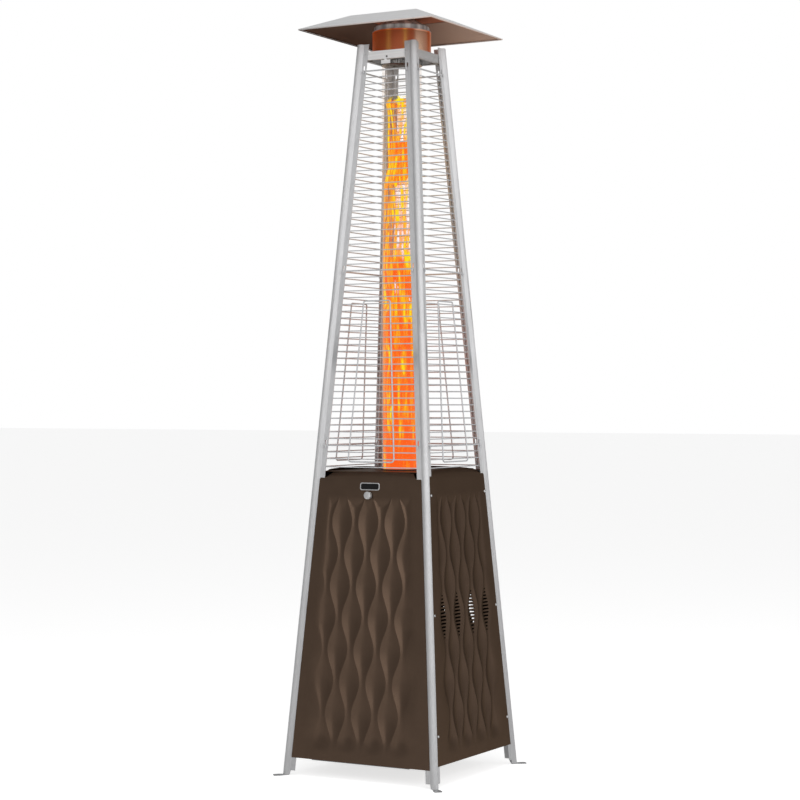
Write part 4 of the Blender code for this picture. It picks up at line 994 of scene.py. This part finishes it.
def lattice_surface(radius):
    """Diamond net round a cylinder: each opening has a rim of four flat strands."""
    around = 66
    up = 8
    opening = 0.74
    margin = 0.003
    bm = bmesh.new()
    points = {}

    def spot(column, row):
        key = (column % (2 * around), row)
        if key not in points:
            angle = column / (2 * around) * 2 * math.pi
            z = screen_low + margin + (screen_high - screen_low - 2 * margin) * row / (2 * up)
            points[key] = bm.verts.new((radius * math.cos(angle), radius * math.sin(angle), z))
        return points[key]

    for row in range(0, 2 * up - 1):
        for column in range(row % 2, 2 * around, 2):
            rim = [spot(column, row), spot(column + 1, row + 1), spot(column, row + 2),
                   spot(column - 1, row + 1)]
            middle = sum((corner.co for corner in rim), Vector()) / 4
            hole = [bm.verts.new(middle.lerp(corner.co, opening)) for corner in rim]
            for index in range(4):
                after = (index + 1) % 4
                bm.faces.new((rim[index], rim[after], hole[after], hole[index]))
    return bm


hot_mesh, hot_shader, hot_place = start_finish("hot screen", metallic=0.7)
hot_shader.inputs["Emission Strength"].default_value = 1.0
hot_x = along(hot_place, "X")
hot_y = along(hot_place, "Y")
hot_turn = hot_x.maths("ARCTAN2", hot_x, hot_y * -1.0) / (2 * math.pi) + 0.5
# Ember and scorched are the heat tint. Gold, straw and the pale bands are painted reflections of the lamps.
ember = (0.72, 0.22, 0.05)
painted_gold_glint = (0.92, 0.50, 0.10)
scorched = (0.40, 0.10, 0.03)
painted_highlight = (0.95, 0.72, 0.50)
painted_straw_glint = (0.62, 0.28, 0.10)
# Heat tint round the screen with painted highlight and glint bands, by degrees from the door towards the
# right side
tint_and_highlight_bands = ((-180, ember), (-150, painted_gold_glint), (-140, ember), (-100, scorched), (-60, ember), (-46, painted_straw_glint),
              (-38, ember), (-6, scorched), (3, painted_gold_glint), (11, scorched), (30, scorched), (36, painted_gold_glint),
              (43, scorched), (52, scorched), (60, painted_highlight), (84, painted_highlight), (95, ember),
              (107, painted_highlight), (117, painted_highlight), (128, ember), (180, ember))
tint_and_highlight_stops = [((turn + 180) / 360, color) for turn, color in tint_and_highlight_bands]
hot_color = hot_turn.node("ValToRGB", {"stops": tint_and_highlight_stops}, {0: hot_turn})
hot_grain = grain(hot_place, (14, 14, 2), 1.0, 2.0)
mixed(ramp(hot_grain, 0.35, 0.75) * 0.5, hot_color, scorched).feed(hot_shader, "Base Color")
mixed(ramp(hot_grain, 0.4, 0.7), (0.10, 0.009, 0.0), (0.16, 0.018, 0.0)).feed(hot_shader, "Emission Color")
(0.34 + hot_grain * 0.1).feed(hot_shader, "Roughness")
rim_height = 0.0045
rim_inside = screen_radius - 0.001
rims = []
for low, high in ((screen_low, screen_low + rim_height), (screen_high - rim_height, screen_high)):
    rims.append(turned([(screen_radius, low), (screen_radius, high), (rim_inside, high),
                        (rim_inside, low), (screen_radius, low)], 96))
screen = gather([work_sheet(lattice_surface(screen_radius - 0.0001), 0.0008)] + rims)
add_piece("perforated_screen", screen, hot_mesh, ["emitter_screen"])
glow, glow_shader, glow_place = start_finish("inner glow", roughness=0.6)
glow_shader.inputs["Emission Strength"].default_value = 1.0
glow_bands = grain(glow_place, (22, 22, 1.5), 1.0, 2.0)
glow_tone = ramp(glow_bands, 0.35, 0.65)
mixed(glow_tone, (0.012, 0.004, 0.002), (0.05, 0.012, 0.004)).feed(glow_shader, "Emission Color")
mixed(glow_bands, (0.03, 0.02, 0.015), (0.10, 0.05, 0.03)).feed(glow_shader, "Base Color")
add_piece("screen_lining", turned([(0.083, screen_low), (0.083, screen_high), (0.0822, screen_high),
                                   (0.0822, screen_low), (0.083, screen_low)], 72), glow)
cap_steel, cap_shader, cap_place = start_finish("pressed cap", metallic=0.15)
cap_streaks = grain(cap_place, (60, 60, 2), 1.0, 2.0)
mixed(ramp(cap_streaks, 0.38, 0.66), (0.34, 0.36, 0.37), (0.88, 0.90, 0.90)).feed(cap_shader, "Base Color")
(0.34 + cap_streaks * 0.12).feed(cap_shader, "Roughness")
cap_profile = [(0, 2.2665), (0.030, 2.2663), (0.0375, 2.2655), (0.0392, 2.2646), (0.0818, 2.2408),
               (0.0831, 2.2394), (0.0835, 2.2375), (0.0835, 2.2285), (0.0842, 2.2270), (0.0880, 2.2266),
               (0.0886, 2.2260), (0.0880, 2.2253), (0.0821, 2.2253), (0.0821, 2.2390), (0.0375, 2.2636),
               (0, 2.2651)]
add_piece("pressed_cap", turned(cap_profile, 96), cap_steel, ["emitter_cap"])


# Reflector. A square pyramid of thin aluminium, folded down at its rim, stands on three studs
# with nuts above the cap. It is mill-bright outside. Underneath, its brown is painted light: the
# glow's reflection, lighter towards the right, with painted shade along the fold.
reflector_half = 0.2267
reflector_flat = 0.1125
reflector_rim = 2.2220
reflector_top = 2.2705
reflector_lip = 0.0035
outer, outer_shader, outer_place = start_finish("reflector sheet", specular_ior_level=0.0)
outer_lines = grain(outer_place, (5, 260, 5), 1.0, 3.0)
outer_normal = outer_place.node("NewGeometry", None, None, "Normal")
under = ramp(along(outer_normal, "Z"), 0.02, -0.02)
bright = mixed(outer_lines, (0.74, 0.74, 0.745), (0.88, 0.88, 0.885))
outer_x = along(outer_place, "X")
outer_y = along(outer_place, "Y")
# Painted light underneath: the glow's reflection as brown, dark on the left and light on the right.
painted_glow_gradient = mixed(ramp(outer_x, -0.20, 0.20), (0.11, 0.062, 0.043), (0.62, 0.42, 0.32))
from_middle = outer_x.maths("MAXIMUM", outer_x.maths("ABSOLUTE", outer_x), outer_y.maths("ABSOLUTE", outer_y))
# Painted shade: a dark line along the fold between the slopes and the flat top.
painted_fold_shade = ramp(from_middle.maths("ABSOLUTE", from_middle - reflector_flat), 0.004, 0.001)
on_flat = ramp(from_middle, reflector_flat + 0.002, reflector_flat - 0.002)
# Painted glow on the flat middle of the underside.
painted_flat_glow = mixed(on_flat, painted_glow_gradient, (0.46, 0.16, 0.09))
painted_underside_light = mixed(painted_fold_shade * 0.5, painted_flat_glow, (0.06, 0.03, 0.02))
mixed(under, bright, painted_underside_light).feed(outer_shader, "Base Color")
(0.2 - under * 0.2).feed(outer_shader, "Metallic")
(0.38 + (outer_lines - 0.5) * 0.1).feed(outer_shader, "Roughness")


def reflector_surface():
    lip_foot = reflector_rim - reflector_lip
    rings = [(reflector_half - 0.006, lip_foot + 0.0002), (reflector_half, lip_foot),
             (reflector_half, reflector_rim), (reflector_flat, reflector_top), (0.03, reflector_top)]
    corners = ((1, -1), (1, 1), (-1, 1), (-1, -1))
    bm = bmesh.new()
    layers = []
    for half, z in rings:
        layers.append([bm.verts.new((x * half, y * half, z)) for x, y in corners])
    bridge(bm, layers)
    bm.faces.new(layers[-1])
    return bm


reflector_sheet = work_sheet(reflector_surface(), 0.0014)
add_piece("folded_reflector", reflector_sheet, outer, ["reflector"], sharp=8)
dress(["reflector_stud_1", "reflector_stud_2", "reflector_stud_3",
       "reflector_nut_1", "reflector_nut_2", "reflector_nut_3"], zinc)


# Controls behind the door: galvanised box, brass gas valve with its plastic knob, igniter with
# a red push button, tilt switch and the magnet that holds the door.
galvanised, galvanised_shader, galvanised_place = start_finish("galvanised sheet", metallic=0.8)
spangle = galvanised_place.node("TexVoronoi", None, {"Vector": galvanised_place, "Scale": 90.0}, "Color")
spangle_tone = spangle.node("SeparateColor", None, {0: spangle}, "Red")
mixed(spangle_tone, (0.36, 0.37, 0.38), (0.56, 0.57, 0.58)).feed(galvanised_shader, "Base Color")
(0.35 + spangle_tone * 0.2).feed(galvanised_shader, "Roughness")
dress(["control_box"], galvanised)


def moulded_plastic(name, color):
    finish, shader, place = start_finish(name)
    skin = grain(place, (1, 1, 1), 700.0)
    dark = tuple(part * 0.85 for part in color)
    mixed(skin, dark, color).feed(shader, "Base Color")
    (0.4 + skin * 0.15).feed(shader, "Roughness")
    bumped(skin, 0.15, 0.0002).feed(shader, "Normal")
    return finish


black_plastic = moulded_plastic("black plastic", (0.018, 0.018, 0.018))
dress(["control_knob", "igniter_body", "tilt_switch", "magnet_catch"], black_plastic)
dress(["igniter_button"], moulded_plastic("red plastic", (0.48, 0.02, 0.015)))


# Floor, backdrop and lamps. The floor is pale and matt and keeps the heater's shadow, the
# backdrop is white, and four soft square lamps light the front, the right side and the top.
floor_mesh = bmesh.new()
bmesh.ops.create_grid(floor_mesh, x_segments=1, y_segments=1, size=60.0)
floor_data = bpy.data.meshes.new("floor")
floor_mesh.to_mesh(floor_data)
floor_mesh.free()
floor = bpy.data.objects.new("floor", floor_data)
bpy.context.scene.collection.objects.link(floor)
floor_finish, floor_shader, floor_place = start_finish("pale floor", roughness=0.9,
                                                       base_color=(0.85, 0.85, 0.85, 1))
seen = floor_place.node("LightPath", None, None, "Is Camera Ray")
glossy = floor_place.node("LightPath", None, None, "Is Glossy Ray")
through = floor_place.node("LightPath", None, None, "Is Transmission Ray")
shown = ramp(seen + through + glossy * 0.4, 0.0, 1.0)
mixed(shown, (0, 0, 0), (0.7, 0.7, 0.7)).feed(floor_shader, "Emission Color")
floor_shader.inputs["Emission Strength"].default_value = 1.0
floor_data.materials.append(floor_finish)

world = bpy.data.worlds.new("studio")
bpy.context.scene.world = world
world.use_nodes = True
backdrop = world.node_tree.nodes["Background"]
start = Signal(world.node_tree, world.node_tree.nodes.new("ShaderNodeLightPath").outputs["Is Camera Ray"])
world_glossy = start.node("LightPath", None, None, "Is Glossy Ray")
world_through = start.node("LightPath", None, None, "Is Transmission Ray")
world_shown = ramp(start + world_through + world_glossy * 0.2, 0.0, 1.0)
mixed(world_shown, (0.25, 0.25, 0.25), (1.0, 1.0, 1.0)).feed(backdrop, "Color")
bpy.context.scene.view_settings.view_transform = "Standard"


def add_lamp(name, azimuth, elevation, distance, size, power):
    """Square area lamp aimed at the middle of the heater, azimuth from the door to the right."""
    data = bpy.data.lights.new(name, "AREA")
    data.size = size
    data.energy = power
    lamp = bpy.data.objects.new(name, data)
    turn = math.radians(azimuth)
    rise = math.radians(elevation)
    aim = Vector((0, 0, 1.1))
    towards = Vector((math.sin(turn) * math.cos(rise), -math.cos(turn) * math.cos(rise), math.sin(rise)))
    lamp.location = aim + distance * towards
    lamp.rotation_euler = (aim - lamp.location).to_track_quat("-Z", "Y").to_euler()
    bpy.context.scene.collection.objects.link(lamp)


add_lamp("left half", 16, 14, 5.0, 3.2, 62)
add_lamp("middle", 57, 14, 5.0, 3.4, 58)
add_lamp("right half", 92, 14, 5.0, 3.0, 42)
add_lamp("overhead", 20, 62, 4.5, 3.0, 42)
